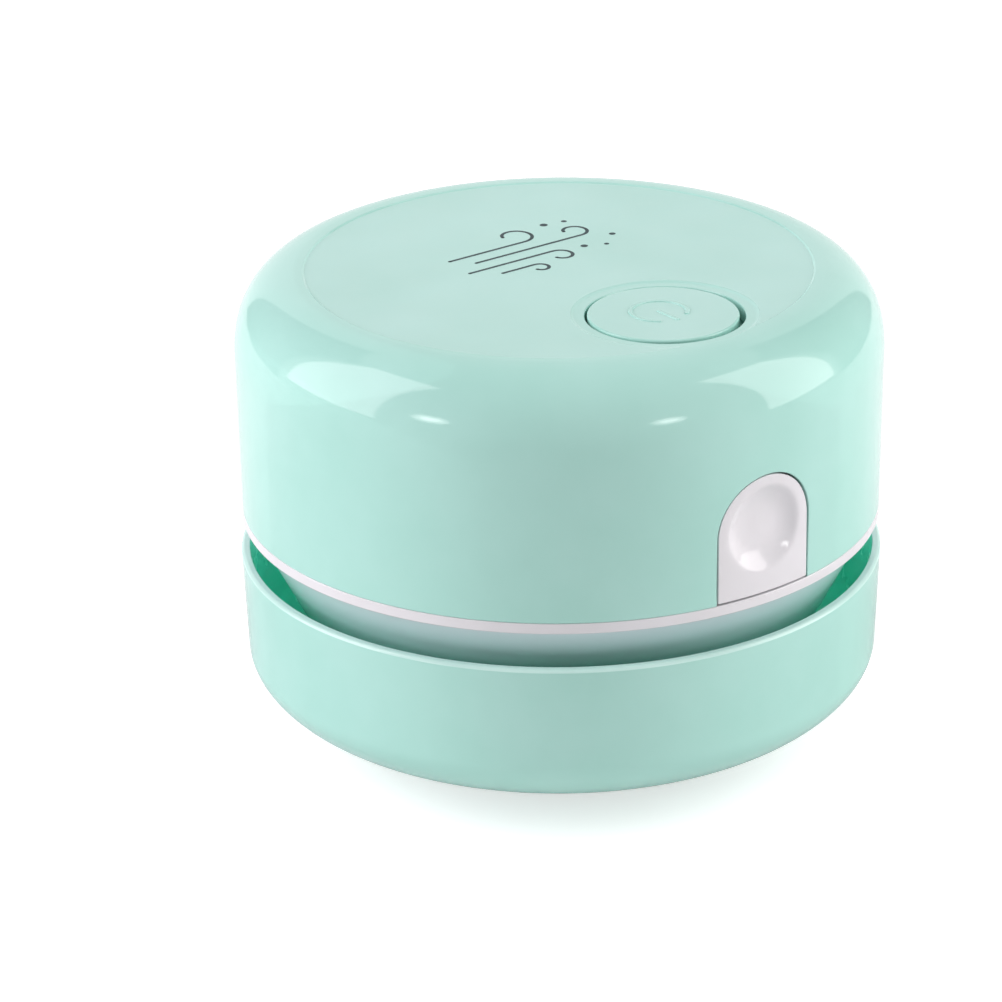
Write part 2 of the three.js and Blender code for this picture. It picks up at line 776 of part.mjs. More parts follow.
function fanBase() {
  const lips = Array.from({ length: bayonetCount }, (_, i) => {
    const from = (i * 360) / bayonetCount - lipAngle / 2;
    const outer = collarInner + collarWall / 2;
    return sector(collarInner - lipReach, outer, lipTop - lipThickness, lipTop, from, from + lipAngle);
  });
  const bosses = headScrewPlaces.map(([x, y]) =>
    post(x, y, headBossRadius, fanBaseBottom, motorPlateBottom),
  );
  const headHole = headScrewHeadRadius + fitGap;
  const holes = headScrewPlaces.flatMap(([x, y]) => [
    post(x, y, headHole, fanBaseBottom - overrun, fanBaseBottom + headScrewHead),
    post(x, y, headScrewRadius + fitGap, fanBaseBottom - overrun, motorPlateBottom + overrun),
  ]);
  const outletOuter = fanBaseRadius - outletEdge;
  const outletInner = outletOuter - outletWidth;
  const through = [fanBaseBottom - overrun, fanBaseTop + overrun];
  const outlets = Array.from({ length: outletCount }, (_, i) => {
    const from = 90 + outletPitch * (i - (outletCount - 1) / 2) - outletAngle / 2;
    return sector(outletInner, outletOuter, ...through, from, from + outletAngle);
  });
  const plate = ring(fanEyeRadius, fanBaseRadius, fanBaseBottom, fanBaseTop);
  const collar = ring(collarInner, collarRadius, collarBottom, fanBaseTop);
  const floor = cut(join(plate, collar, ...lips), ...outlets);
  return cut(join(floor, ...bosses), ...holes, ...tabRoom(fanBaseBottom, fanBaseTop));
}

piece(head, "fan_base", fanBase(), "whitePlastic");

// Cup seal: a flat silicone ring under the fan base that closes on the dust wall
const sealShape = ring(dustWallRadius - dustWall, dustWallRadius, fanBaseBottom - sealHeight, fanBaseBottom);
piece(head, "cup_seal", sealShape, "greySilicone");

headScrewPlaces.forEach((place, i) => {
  const shank = [headScrewRadius, headScrewLength];
  const shape = screw(place, fanBaseBottom, headScrewHeadRadius, headScrewHead, ...shank);
  piece(head, `head_screw_${i + 1}`, shape, "steel");
});

// Motor plate: closes the fan room, and carries the motor, the battery and the tab spring's seat
const motorScrewPlaces = [0, 180].map((angle) => onCircle(motorScrewCircle, angle));
const springSeatFront = tabBackY + springSeatFromTab;
const springLevel = motorPlateTop + springRise;

function motorPlate() {
  const through = [motorPlateBottom - overrun, motorPlateTop + overrun];
  const screwHoles = headScrewPlaces.map(([x, y]) => post(x, y, headScrewRadius + fitGap, ...through));
  const motorHoles = motorScrewPlaces.flatMap(([x, y]) => [
    post(x, y, motorScrewRadius + fitGap, ...through),
    post(x, y, motorScrewHeadRadius + fitGap, motorPlateBottom - overrun, motorPlateBottom + motorScrewHead),
  ]);
  const saddleOffset = cellLength / 2 - saddleInset;
  const saddles = [1, -1].map((side) =>
    block(
      [cellX - cellRadius, cellX + cellRadius],
      [side * saddleOffset - saddleThickness / 2, side * saddleOffset + saddleThickness / 2],
      [motorPlateBottom, motorPlateTop + saddleHeight],
    ),
  );
  const seat = block(
    [-springSeatHalfWidth, springSeatHalfWidth],
    [springSeatFront, springSeatFront + springSeatThickness],
    [motorPlateBottom, springLevel + springRadius + springWire],
  );
  const plate = cut(disc(motorPlateRadius, motorPlateBottom, motorPlateTop), ...tabRoom(...through));
  const bearingHole = disc(bearingRadius + fitGap, ...through, smallSteps);
  const cellRoom = rod(cellX, cellLevel, cellRadius + fitGap, -cellLength, cellLength, middleSteps);
  return cut(join(plate, ...saddles, seat), cellRoom, bearingHole, ...screwHoles, ...motorHoles);
}

piece(head, "motor_plate", motorPlate(), "greyPlastic");

// Motor: a steel can with two magnets inside, an end cap, and two screws from under the plate
function motorCan() {
  const canFloor = motorPlateTop + canWall;
  const bearing = disc(bearingRadius, motorPlateTop - motorPlateThickness / 2, canFloor, smallSteps);
  const can = join(disc(canRadius, motorPlateTop, canTop, middleSteps), bearing);
  const inside = disc(canRadius - canWall, canFloor, canTop + overrun, middleSteps);
  const screwHoles = motorScrewPlaces.map(([x, y]) =>
    post(x, y, motorScrewRadius + fitGap, motorPlateTop - overrun, canFloor + overrun),
  );
  const shaftHole = disc(shaftRadius + fitGap, motorPlateBottom, canFloor + overrun, smallSteps);
  return cut(can, inside, ...screwHoles, shaftHole);
}

piece(head, "motor_can", motorCan(), "steel");

const shaftTop = canTop + capHeight / 2;
const capShape = cut(
  disc(canRadius - canWall / 2, canTop, capTop, middleSteps),
  disc(shaftRadius + fitGap, canTop - overrun, shaftTop, smallSteps),
);
piece(head, "motor_cap", capShape, "blackPlastic");

const rotorBottom = motorPlateTop + canWall + rotorRoom / 2;
const rotorTop = canTop - rotorRoom / 2;
const magnetOuter = canRadius - canWall - fitGap;
const magnetInner = magnetOuter - magnetThickness;
const rotorRadius = magnetInner - rotorGap;
[0, 180].forEach((side, i) => {
  const from = side - magnetAngle / 2;
  const shape = sector(magnetInner, magnetOuter, rotorBottom, rotorTop, from, from + magnetAngle);
  piece(head, `motor_magnet_${i + 1}`, shape, "magnet");
});

motorScrewPlaces.forEach((place, i) => {
  const shank = [motorScrewRadius, motorScrewLength];
  const shape = screw(place, motorPlateBottom, motorScrewHeadRadius, motorScrewHead, ...shank);
  piece(head, `motor_screw_${i + 1}`, shape, "steel");
});

// Fan: the rotor and the impeller on the motor's shaft
const impellerBottom = fanBaseTop + fanFloorGap;
const impellerDiscBottom = impellerBottom + bladeHeight;

piece(fan, "motor_shaft", disc(shaftRadius, impellerBottom, shaftTop - fitGap, smallSteps), "steel");

const rotorShape = cut(
  disc(rotorRadius, rotorBottom, rotorTop, middleSteps),
  disc(shaftRadius + fitGap, rotorBottom - overrun, rotorTop + overrun, smallSteps),
);
piece(fan, "motor_rotor", rotorShape, "steel");

// A blade sweeps back from the hub to the rim of the impeller's disc.
function bladeOutline() {
  const start = (shaftRadius + impellerHubRadius) / 2;
  const end = impellerRadius - bladeThickness;
  const side = (sign) =>
    Array.from({ length: bladeSteps + 1 }, (_, i) => {
      const share = i / bladeSteps;
      const angle = -bladeSweep * share ** 2;
      const [x, y] = onCircle(start + (end - start) * share, angle);
      const [sideX, sideY] = onCircle((sign * bladeThickness) / 2, angle + 90);
      return new THREE.Vector2(x + sideX, y + sideY);
    });
  return new THREE.Shape([...side(-1), ...side(1).reverse()]);
}

function impeller() {
  const rootTop = impellerDiscBottom + impellerDisc / 2;
  const blades = Array.from({ length: bladeCount }, (_, i) =>
    prism(bladeOutline(), impellerBottom, rootTop).rotateZ(radians((i * 360) / bladeCount)),
  );
  const plate = disc(impellerRadius, impellerDiscBottom, impellerDiscBottom + impellerDisc, middleSteps);
  const hub = disc(impellerHubRadius, impellerBottom, impellerDiscBottom + impellerDisc / 2, smallSteps);
  const bore = disc(shaftRadius + fitGap, impellerBottom - overrun, motorPlateBottom, smallSteps);
  return cut(join(plate, hub, ...blades), bore);
}

piece(fan, "impeller", impeller(), "whitePlastic");

// Battery: one round cell lying in the motor plate's two saddles
const cellShape = join(
  rod(cellX, cellLevel, cellRadius, -cellLength / 2, cellLength / 2, middleSteps),
  rod(cellX, cellLevel, cellNubRadius, cellLength / 2 - cellNubLength, cellLength / 2 + cellNubLength),
);
piece(head, "battery_cell", cellShape, "cellWrap");

// Circuit board under the roof, with its screws, the switch, the charging socket and the lamp
function circuitBoard() {
  const holes = boardScrewPlaces.map(([x, y]) =>
    post(x, y, boardScrewRadius + fitGap, boardBottom - overrun, boardTop + overrun),
  );
  const across = [-boardWidth / 2, boardWidth / 2];
  return cut(block(across, [boardFront, boardBack], [boardBottom, boardTop]), ...holes);
}

piece(head, "circuit_board", circuitBoard(), "boardGreen");

boardScrewPlaces.forEach((place, i) => {
  const level = boardBottom - boardScrewHead;
  const shank = [boardScrewRadius, boardScrewLength];
  const shape = screw(place, level, boardScrewHeadRadius, boardScrewHead, ...shank);
  piece(head, `board_screw_${i + 1}`, shape, "steel");
});

const halfSwitch = switchSide / 2;
const switchShape = cut(
  block([-halfSwitch, halfSwitch], [buttonY - halfSwitch, buttonY + halfSwitch], [boardTop, switchTop]),
  post(0, buttonY, plungerRadius + fitGap, boardTop + switchFloor, switchTop + overrun),
);
piece(head, "switch_body", switchShape, "blackPlastic");

const socketBackY = coverFootRadius - socketRecess;

function chargingSocket() {
  const half = socketWidth / 2;
  const bottom = boardBottom - socketHeight;
  const front = socketBackY - socketDepth;
  const middle = (bottom + boardBottom) / 2;
  const halfTongue = tongueThickness / 2;
  const shell = block([-half, half], [front, socketBackY], [bottom, boardBottom]);
  const mouth = block(
    [socketWall - half, half - socketWall],
    [front + socketWall, socketBackY + overrun],
    [bottom + socketWall, boardBottom - socketWall],
  );
  const tongue = block(
    [-tongueWidth / 2, tongueWidth / 2],
    [front + socketWall / 2, socketBackY - socketRecess],
    [middle - halfTongue, middle + halfTongue],
  );
  return join(cut(shell, mouth), tongue);
}

piece(head, "charging_socket", chargingSocket(), "steel");

const lampWall = Math.sqrt(coverFootRadius ** 2 - lampX ** 2);
const lampShape = join(
  block(
    [lampX - lampBodyWidth / 2, lampX + lampBodyWidth / 2],
    [boardBack - lampBodyLength, boardBack],
    [lampLevel - lampRadius, boardBottom],
  ),
  rod(lampX, lampLevel, lampRadius, boardBack - lampBodyLength / 2, lampWall - fitGap),
);
piece(head, "charge_lamp", lampShape, "clearLens");

// Leads: soft wires from the cell and the motor up to the board
function lead(points) {
  const path = new THREE.CatmullRomCurve3(points.map(([x, y, z]) => new THREE.Vector3(x, y, z)));
  const corners = Array.from({ length: leadSides }, (_, i) => {
    return new THREE.Vector2(...onCircle(leadRadius, (i * 360) / leadSides));
  });
  return new THREE.ExtrudeGeometry(new THREE.Shape(corners), { steps: leadSteps, extrudePath: path });
}

function cellLead(side) {
  const outY = side * (cellLength / 2 + cellNubLength + fitGap + leadRadius);
  const edgeX = -boardWidth / 2;
  const end = boardBottom - fitGap;
  return lead([
    [cellX, outY, cellLevel],
    [cellX + leadBow / 2, outY, (cellLevel + end) / 2],
    [(cellX + edgeX) / 2, outY - side * leadRadius, end - leadBow / 2],
    [edgeX + leadBow, outY - side * leadBow, end - leadBow / 2],
    [edgeX + 2 * leadBow, outY - 2 * side * leadBow, end],
  ]);
}

function motorLead(side) {
  const start = capTop + fitGap;
  const end = boardBottom - fitGap;
  const middle = (start + end) / 2;
  const near = canRadius / 2;
  return lead([
    [side * near, 0, start],
    [side * near, leadRadius, middle],
    [side * near, near, middle],
    [side * near, near + leadRadius, end],
  ]);
}

piece(head, "cell_lead_red", cellLead(1), "redLead");
piece(head, "cell_lead_black", cellLead(-1), "blackLead");
piece(head, "motor_lead_red", motorLead(1), "redLead");
piece(head, "motor_lead_black", motorLead(-1), "blackLead");

// Filter: a frame that twists into the collar, with a net and a sponge in it
const frameOuter = collarInner - lipReach - fitGap;
const frameInner = frameOuter - frameWall;
const netBottom = frameBottom + frameFloor;
const spongeBottom = netBottom + netThickness;

function filterFrame() {
  const wall = ring(frameInner, frameOuter, frameBottom, frameTop);
  const reach = frameInner + frameWall / 2;
  const spoke = block([-reach, reach], [-spokeWidth / 2, spokeWidth / 2], [frameBottom, netBottom]);
  const spokes = Array.from({ length: windowCount / 2 }, (_, i) =>
    spoke.clone().rotateZ(radians((i * 360) / windowCount)),
  );
  const hub = disc(hubRadius, frameBottom, netBottom, smallSteps);
  const gripReach = frameInner - gripInset;
  const grip = block([-gripReach, gripReach], [-gripWidth / 2, gripWidth / 2], [gripBottom, netBottom]);
  const lugs = Array.from({ length: bayonetCount }, (_, i) => {
    const from = (i * 360) / bayonetCount - lugAngle / 2;
    const bottom = lugTop - lugThickness;
    return sector(frameInner + frameWall / 2, collarInner - fitGap, bottom, lugTop, from, from + lugAngle);
  });
  return join(wall, hub, grip, ...spokes, ...lugs);
}

piece(filter, "filter_frame", filterFrame(), "greyPlastic");
piece(filter, "filter_net", disc(frameInner - fitGap, netBottom, spongeBottom), "whiteNylon");
const spongeShape = disc(frameInner - fitGap, spongeBottom, spongeBottom + spongeThickness);
piece(filter, "filter_sponge", spongeShape, "darkSponge");

// Power button: a disc with a flange under the roof and a raised power sign, on the switch's plunger
function powerButton() {
  const flange = disc(buttonRadius + buttonFlangeReach, buttonFlangeBottom, buttonFlangeTop, middleSteps);
  const top = disc(buttonRadius, buttonFlangeBottom, topDiscLevel, middleSteps);
  const signBottom = topDiscLevel - symbolHeight;
  const signTop = topDiscLevel + symbolHeight;
  const from = symbolOpening / 2 - 90;
  const halfLine = symbolLine / 2;
  const arcInner = symbolRadius - halfLine;
  const arcOuter = symbolRadius + halfLine;
  const levels = [signBottom, signTop];
  const arc = sector(arcInner, arcOuter, ...levels, from, from + 360 - symbolOpening, middleSteps);
  const bar = block([-halfLine, halfLine], [-symbolLine - symbolBarLength, -symbolLine], levels);
  const sign = join(arc.translate(0, symbolShift, 0), bar.translate(0, symbolShift, 0));
  return geometryOf(join(flange, top, sign)).translate(0, buttonY, 0);
}

piece(button, "power_button", powerButton(), "mintPlastic");
const plungerShape = post(0, buttonY, plungerRadius, switchTop - plungerSink, buttonFlangeBottom);
piece(button, "switch_plunger", plungerShape, "blackPlastic");

// Release tab: an arched plate with a finger dish, a flange inside the wall, a hook and a spring peg
function releaseTab() {
  const plate = slab(archOutline(tabWidth / 2, tabBottom), -bodyRadius, tabBackY);
  const face = disc(coverFootRadius, tabBottom - overrun, tabArchLevel + tabWidth);
  const flange = slab(archOutline(tabHalfFlange, tabBottom), tabFlangeFront, tabBackY);
  const dishBall = (dishRadius ** 2 + dishDepth ** 2) / (2 * dishDepth);
  const dish = new THREE.SphereGeometry(dishBall, middleSteps, middleSteps);
  dish.translate(0, dishDepth - coverFootRadius - dishBall, tabBottom + dishRise);
  const halfHook = hookWidth / 2;
  const armBottom = tabBottom + hookArmRise;
  const armTop = armBottom + hookArmHeight;
  const noseTop = lugBottom - fitGap;
  const noseBottom = noseTop - hookNoseHeight;
  const arm = block([-halfHook, halfHook], [tabFlangeFront, hookBackY], [armBottom, armTop]);
  const hook = block([-halfHook, halfHook], [hookFrontY, hookBackY], [noseBottom, armTop]);
  const nose = block([-halfHook, halfHook], [hookNoseY, hookBackY], [noseBottom, noseTop]);
  const peg = rod(0, springLevel, springPegRadius, tabFlangeFront, tabBackY + springPegLength);
  return join(cut(shared(plate, face), dish), flange, arm, hook, nose, peg);
}

piece(tab, "release_tab", releaseTab(), "whitePlastic");

// Tab spring: one unbroken wire wound round the peg, between the tab and its seat
function springPath() {
  const clear = springWire / 2 + fitGap / 2;
  const from = tabBackY + clear;
  const to = springSeatFront - clear;
  const count = springTurns * springTurnSteps;
  return Array.from({ length: count + 1 }, (_, i) => {
    const turn = (i / springTurnSteps) * 2 * Math.PI;
    const y = from + ((to - from) * i) / count;
    return new THREE.Vector3(springRadius * Math.cos(turn), y, springLevel + springRadius * Math.sin(turn));
  });
}

function tabSpring() {
  const path = springPath();
  const rise = path[1].y - path[0].y;
  const stepAngle = (2 * Math.PI) / springTurnSteps;
  const positions = [];
  path.forEach((point, i) => {
    const turn = i * stepAngle;
    const outward = new THREE.Vector3(Math.cos(turn), 0, Math.sin(turn));
    const reach = springRadius * stepAngle;
    const along = new THREE.Vector3(-Math.sin(turn) * reach, rise, Math.cos(turn) * reach);
    const upward = along.normalize().cross(outward);
    for (let k = 0; k < springSides; k++) {
      const side = (k * 2 * Math.PI) / springSides;
      const corner = point.clone();
      corner.addScaledVector(outward, (springWire / 2) * Math.cos(side));
      corner.addScaledVector(upward, (springWire / 2) * Math.sin(side));
      positions.push(...corner.toArray());
    }
  });
  const faces = [];
  for (let i = 0; i + 1 < path.length; i++) {
    for (let k = 0; k < springSides; k++) {
      const [a, b] = [i * springSides + k, i * springSides + ((k + 1) % springSides)];
      faces.push(a, b, b + springSides, a, b + springSides, a + springSides);
    }
  }
  const last = (path.length - 1) * springSides;
  for (let k = 1; k + 1 < springSides; k++) {
    faces.push(0, k + 1, k, last, last + k, last + k + 1);
  }
  const geometry = new THREE.BufferGeometry();
  geometry.setAttribute("position", new THREE.Float32BufferAttribute(positions, 3));
  geometry.setIndex(faces);
  return geometry;
}

function leastSpringGap() {
  const path = springPath();
  let least = Infinity;
  for (let i = 0; i < path.length; i++) {
    for (let k = i + springTurnSteps / 2; k < path.length; k++) {
      least = Math.min(least, path[i].distanceTo(path[k]) - springWire);
    }
  }
  return least;
}

console.log(`Least gap between the turns of the tab spring: ${leastSpringGap().toFixed(2)} mm`);
piece(head, "tab_spring", tabSpring(), "steel");

export default vacuumCleaner;
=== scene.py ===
import math
import random

import bmesh
import bpy
from mathutils import Matrix, Vector, noise


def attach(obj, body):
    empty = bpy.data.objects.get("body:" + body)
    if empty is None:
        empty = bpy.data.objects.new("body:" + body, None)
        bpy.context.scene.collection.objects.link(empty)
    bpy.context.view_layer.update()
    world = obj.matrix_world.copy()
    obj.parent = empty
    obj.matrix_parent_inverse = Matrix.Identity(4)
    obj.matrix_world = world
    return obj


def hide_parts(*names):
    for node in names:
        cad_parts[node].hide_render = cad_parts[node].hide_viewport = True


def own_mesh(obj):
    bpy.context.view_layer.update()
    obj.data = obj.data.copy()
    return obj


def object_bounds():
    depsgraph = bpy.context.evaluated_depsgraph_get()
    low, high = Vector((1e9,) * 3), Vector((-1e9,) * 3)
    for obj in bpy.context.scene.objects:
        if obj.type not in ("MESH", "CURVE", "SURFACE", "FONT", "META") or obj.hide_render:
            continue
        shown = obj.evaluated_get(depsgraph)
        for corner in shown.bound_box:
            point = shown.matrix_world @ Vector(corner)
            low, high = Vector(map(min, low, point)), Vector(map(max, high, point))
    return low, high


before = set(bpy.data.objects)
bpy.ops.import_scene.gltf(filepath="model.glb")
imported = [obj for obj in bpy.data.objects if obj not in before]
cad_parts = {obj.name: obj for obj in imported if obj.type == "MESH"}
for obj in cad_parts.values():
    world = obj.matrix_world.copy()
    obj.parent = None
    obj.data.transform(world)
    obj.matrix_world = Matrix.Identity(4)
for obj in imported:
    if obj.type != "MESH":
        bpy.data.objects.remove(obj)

cad_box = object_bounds()

# The camera stands off the cleaner's front left corner and a little above it, with a long lens.
# The photograph isn't level by half a degree, and the object stands right of its middle.
MM = 0.001
PHOTO_SIDE = 1002
SENSOR = 36
FOCAL_PIXELS = 4522
VIEW_AZIMUTH = math.radians(-37.5)
VIEW_ELEVATION = math.radians(23.02)
VIEW_ROLL = math.radians(-0.49)
VIEW_DISTANCE = 600 * MM
AXIS_PIXEL = (560.7, 495.6)
box_low, box_high = cad_box
target = Vector((0, 0, (box_low[2] + box_high[2]) / 2))

camera_data = bpy.data.cameras.new("photo_camera")
camera_data.sensor_width = SENSOR
camera_data.lens = FOCAL_PIXELS * SENSOR / PHOTO_SIDE
camera_data.shift_x = (PHOTO_SIDE / 2 - AXIS_PIXEL[0]) / PHOTO_SIDE
camera_data.shift_y = (AXIS_PIXEL[1] - PHOTO_SIDE / 2) / PHOTO_SIDE
camera_data.clip_start = 10 * MM
camera = bpy.data.objects.new("photo_camera", camera_data)
bpy.context.scene.collection.objects.link(camera)
backwards = Vector((
    math.sin(VIEW_AZIMUTH) * math.cos(VIEW_ELEVATION),
    -math.cos(VIEW_AZIMUTH) * math.cos(VIEW_ELEVATION),
    math.sin(VIEW_ELEVATION),
))
turn = backwards.to_track_quat("Z", "Y").to_matrix().to_4x4()
roll = Matrix.Rotation(VIEW_ROLL, 4, "Z")
camera.matrix_world = Matrix.Translation(target + backwards * VIEW_DISTANCE) @ turn @ roll
bpy.context.scene.camera = camera

# The skirt shell is the mint bowl round the dust cup, injection moulded in ABS. Its wall thins to a
# rounded rim below the head, so that a slot runs all round for the air that the fan blows out.
# A recess under its floor takes the brush plate, and three screws come up through both.
TURN_STEPS = 256
BODY_RADIUS = 42.5
SKIRT_RIM = 26.85
SKIRT_WALL = 1.5
SKIRT_BEND = (41.9, 13.2)
SKIRT_FOOT = (27.8, 4.6)
SKIRT_POWER = 1.86
RECESS_RADIUS = 23.0
RECESS_ROOF = 6.2
BOWL_SEAT = (24.5, 7.7)
SKIRT_HOLE = 11.3
RIM_WALL = 1.15
RIM_FILLETS = (0.12, 0.5)
RIM_BAND = 0.35
INNER_TOP = SKIRT_RIM - 1
BEND_STEPS = 28
WELD = 1e-4
SHARP_ANGLE = 32


def quarter_bend(start, end, power, steps=BEND_STEPS):
    """Points (radius, level) of the corner between a wall and a floor or roof."""
    points = []
    for i in range(steps + 1):
        turned_by = i / steps * math.pi / 2
        across = math.cos(turned_by) ** (2 / power)
        along = math.sin(turned_by) ** (2 / power)
        points.append((end[0] + (start[0] - end[0]) * across, start[1] + (end[1] - start[1]) * along))
    return points


def wall_points(start, end, count):
    """Evenly spaced points (radius, level) of a straight wall, without its two ends."""
    low, high = Vector(start), Vector(end)
    return [tuple(low.lerp(high, (i + 1) / (count + 1))) for i in range(count)]


def filleted(corners, steps=5):
    """A closed profile of (radius, level) corners, where a third number is that corner's fillet."""
    points = []
    for before, corner, after in zip(corners[-1:] + corners[:-1], corners, corners[1:] + corners[:1]):
        here = Vector(corner[:2])
        if len(corner) == 2:
            points.append(here)
            continue
        fillet = corner[2]
        to_before = (Vector(before[:2]) - here).normalized()
        to_after = (Vector(after[:2]) - here).normalized()
        half = to_before.angle(to_after) / 2
        reach = fillet / math.tan(half)
        centre = here + (to_before + to_after).normalized() * (fillet / math.sin(half))
        start, end = here + to_before * reach - centre, here + to_after * reach - centre
        points += [centre + start.lerp(end, i / steps).normalized() * fillet for i in range(steps + 1)]
    return points


def as_piece(name, shape):
    """Puts a finished bmesh in the scene as an object."""
    bmesh.ops.recalc_face_normals(shape, faces=shape.faces)
    mesh = bpy.data.meshes.new(name)
    shape.to_mesh(mesh)
    shape.free()
    piece = bpy.data.objects.new(name, mesh)
    bpy.context.scene.collection.objects.link(piece)
    return piece


def band(shape, near, far):
    """Adds the faces between two closed rings of vertices."""
    for k in range(len(near)):
        after = (k + 1) % len(near)
        shape.faces.new((near[k], far[k], far[after], near[after]))


def turned(name, profile, centre=(0, 0), steps=TURN_STEPS, start=0, span=360):
    """A solid turned round an upright axis from a closed profile of (radius, level)."""
    shape = bmesh.new()
    whole = span == 360
    count = steps if whole else steps + 1
    rings = []
    for i in range(count):
        angle = math.radians(start + span * i / steps)
        x, y = math.cos(angle), math.sin(angle)
        rings.append([shape.verts.new((centre[0] + r * x, centre[1] + r * y, z)) for r, z in profile])
    for i in range(steps):
        band(shape, rings[i], rings[(i + 1) % count])
    if not whole:
        shape.faces.new(rings[0])
        shape.faces.new(list(reversed(rings[-1])))
    bmesh.ops.remove_doubles(shape, verts=shape.verts, dist=WELD)
    return as_piece(name, shape)


def smooth(piece):
    """Shades a piece smooth, apart from its sharp edges, and lets its large faces lead the shading."""
    piece.data.polygons.foreach_set("use_smooth", [True] * len(piece.data.polygons))
    piece.data.set_sharp_from_angle(angle=math.radians(SHARP_ANGLE))
    modifier = piece.modifiers.new("large_faces_lead", "WEIGHTED_NORMAL")
    modifier.keep_sharp = True
    apply_modifiers(piece)


def apply_modifiers(piece):
    """Gives a piece the mesh that its modifiers make."""
    depsgraph = bpy.context.evaluated_depsgraph_get()
    mesh = bpy.data.meshes.new_from_object(piece.evaluated_get(depsgraph))
    piece.modifiers.clear()
    piece.data = mesh


def settle(piece, body, slot, *nodes):
    """Shades a piece, takes it from millimetres to metres and lets it stand for its CAD nodes."""
    smooth(piece)
    piece.data.transform(Matrix.Scale(MM, 4))
    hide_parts(*nodes)
    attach(piece, body)


def hex_to_linear(text):
    """The linear colour of an sRGB hex value."""
    channels = [int(text[i : i + 2], 16) / 255 for i in (1, 3, 5)]
    linear = [c / 12.92 if c <= 0.04045 else ((c + 0.055) / 1.055) ** 2.4 for c in channels]
    return (*linear, 1.0)


def add_node(material, kind, values=None, links=None, **settings):
    """Adds a shader node: its own settings, its sockets' plain values and the links to its sockets."""
    node = material.node_tree.nodes.new("ShaderNode" + kind)
    for name, value in settings.items():
        setattr(node, name, value)
    for socket, value in (values or {}).items():
        node.inputs[socket].default_value = value
    for socket, output in (links or {}).items():
        material.node_tree.links.new(output, node.inputs[socket])
    return node


def new_material(name):
    """An empty node material."""
    material = bpy.data.materials.new(name)
    material.use_nodes = True
    material.node_tree.nodes.clear()
    return material


def set_shades(ramp, shades, stops=(0, 1)):
    """Gives a colour ramp its two shades, and where along it they stand."""
    for element, shade, stop in zip(ramp.color_ramp.elements, shades, stops):
        element.position = stop
        element.color = hex_to_linear(shade)


def mottled(material, size, shades, detail=2.0, stops=(0, 1)):
    """A colour that clouds from one shade into another, over a size in millimetres."""
    place = add_node(material, "TexCoord").outputs["Object"]
    clouds = add_node(material, "TexNoise", {"Scale": 1 / (size * MM), "Detail": detail}, {"Vector": place})
    tint = add_node(material, "ValToRGB", links={"Fac": clouds.outputs["Fac"]})
    set_shades(tint, shades, stops)
    return tint.outputs["Color"]


# Nearly all values of a noise texture lie between these two.
NOISE_SPAN = (0.3, 0.7)


def surfaced(material, values, links, relief=None, depth=0, wear=None, roughness=(0, 1)):
    """Ends a material in its surface. It can have a relief, with a depth in millimetres, and a wear
    that takes the roughness from one value to the other."""
    links = dict(links)
    if wear is not None:
        low, high = NOISE_SPAN
        span = {"From Min": low, "From Max": high, "To Min": roughness[0], "To Max": roughness[1]}
        gloss = add_node(material, "MapRange", span, {"Value": wear})
        links["Roughness"] = gloss.outputs["Result"]
    if relief is not None:
        bump = add_node(material, "Bump", {"Distance": depth * MM}, {"Height": relief})
        links["Normal"] = bump.outputs["Normal"]
    surface = add_node(material, "BsdfPrincipled", values, links)
    add_node(material, "OutputMaterial", links={"Surface": surface.outputs["BSDF"]})


# How far red, green and blue light travel in mint ABS, in millimetres, and how much ABS bends light.
GLOW_REACH = (3.0, 5.2, 4.8)
ABS_IOR = 1.53


def moulded_plastic(name, shades, roughness, grain, depth, cloud=14, ior=ABS_IOR, glow=0.0):
    """A plastic as it leaves its mould: two close shades that cloud into each other over some
    millimetres, a gloss that varies a little from the wear of the mould, and the mould's grain.
    With glow, light also comes through the wall."""
    material = new_material(name)
    tint = mottled(material, cloud, shades, 3.0, (0.35, 0.65))
    place = add_node(material, "TexCoord").outputs["Object"]
    wear = add_node(material, "TexNoise", {"Scale": 4 / (cloud * MM), "Detail": 5.0}, {"Vector": place})
    skin = add_node(material, "TexNoise", {"Scale": 1 / (grain * MM), "Detail": 4.0}, {"Vector": place})
    surfaced(
        material,
        {"IOR": ior, "Subsurface Weight": glow, "Subsurface Scale": MM, "Subsurface Radius": GLOW_REACH},
        {"Base Color": tint},
        skin.outputs["Fac"],
        depth,
        wear.outputs["Fac"],
        roughness,
    )
    return material


def paint(piece, *choices):
    """Gives a piece its first material, and each further one to the faces that its test picks."""
    for material in [choices[0]] + [material for material, test in choices[1:]]:
        piece.data.materials.append(material)
    for face in piece.data.polygons:
        for i, (material, test) in enumerate(choices[1:]):
            if test(face.center / MM, face.normal):
                face.material_index = i + 1


# Mint ABS from a polished mould: a hard, even gloss with the faint ripple of the flow under it.
mint_polished = moulded_plastic("mint_abs_polished", ("#a6d8cd", "#abdbd1"), (0.06, 0.1), 5, 0.006)
# The same ABS inside the skirt. Some of its light comes through the wall as a glow under the skin,
# but the deep, clear green of its colour is painted shade.
mint_inner_painted_shade = moulded_plastic("mint_abs_inner_wall_painted_shade", ("#8acdb4", "#91d3ba"), (0.2, 0.3), 4, 0.006, glow=1.0)
# The same ABS at the rim, where the wall is thin: painted paler, a painted highlight along the rim.
mint_rim_painted_highlight = moulded_plastic("mint_abs_thin_rim_painted_highlight", ("#c0e6de", "#c5e9e1"), (0.1, 0.16), 5, 0.006)

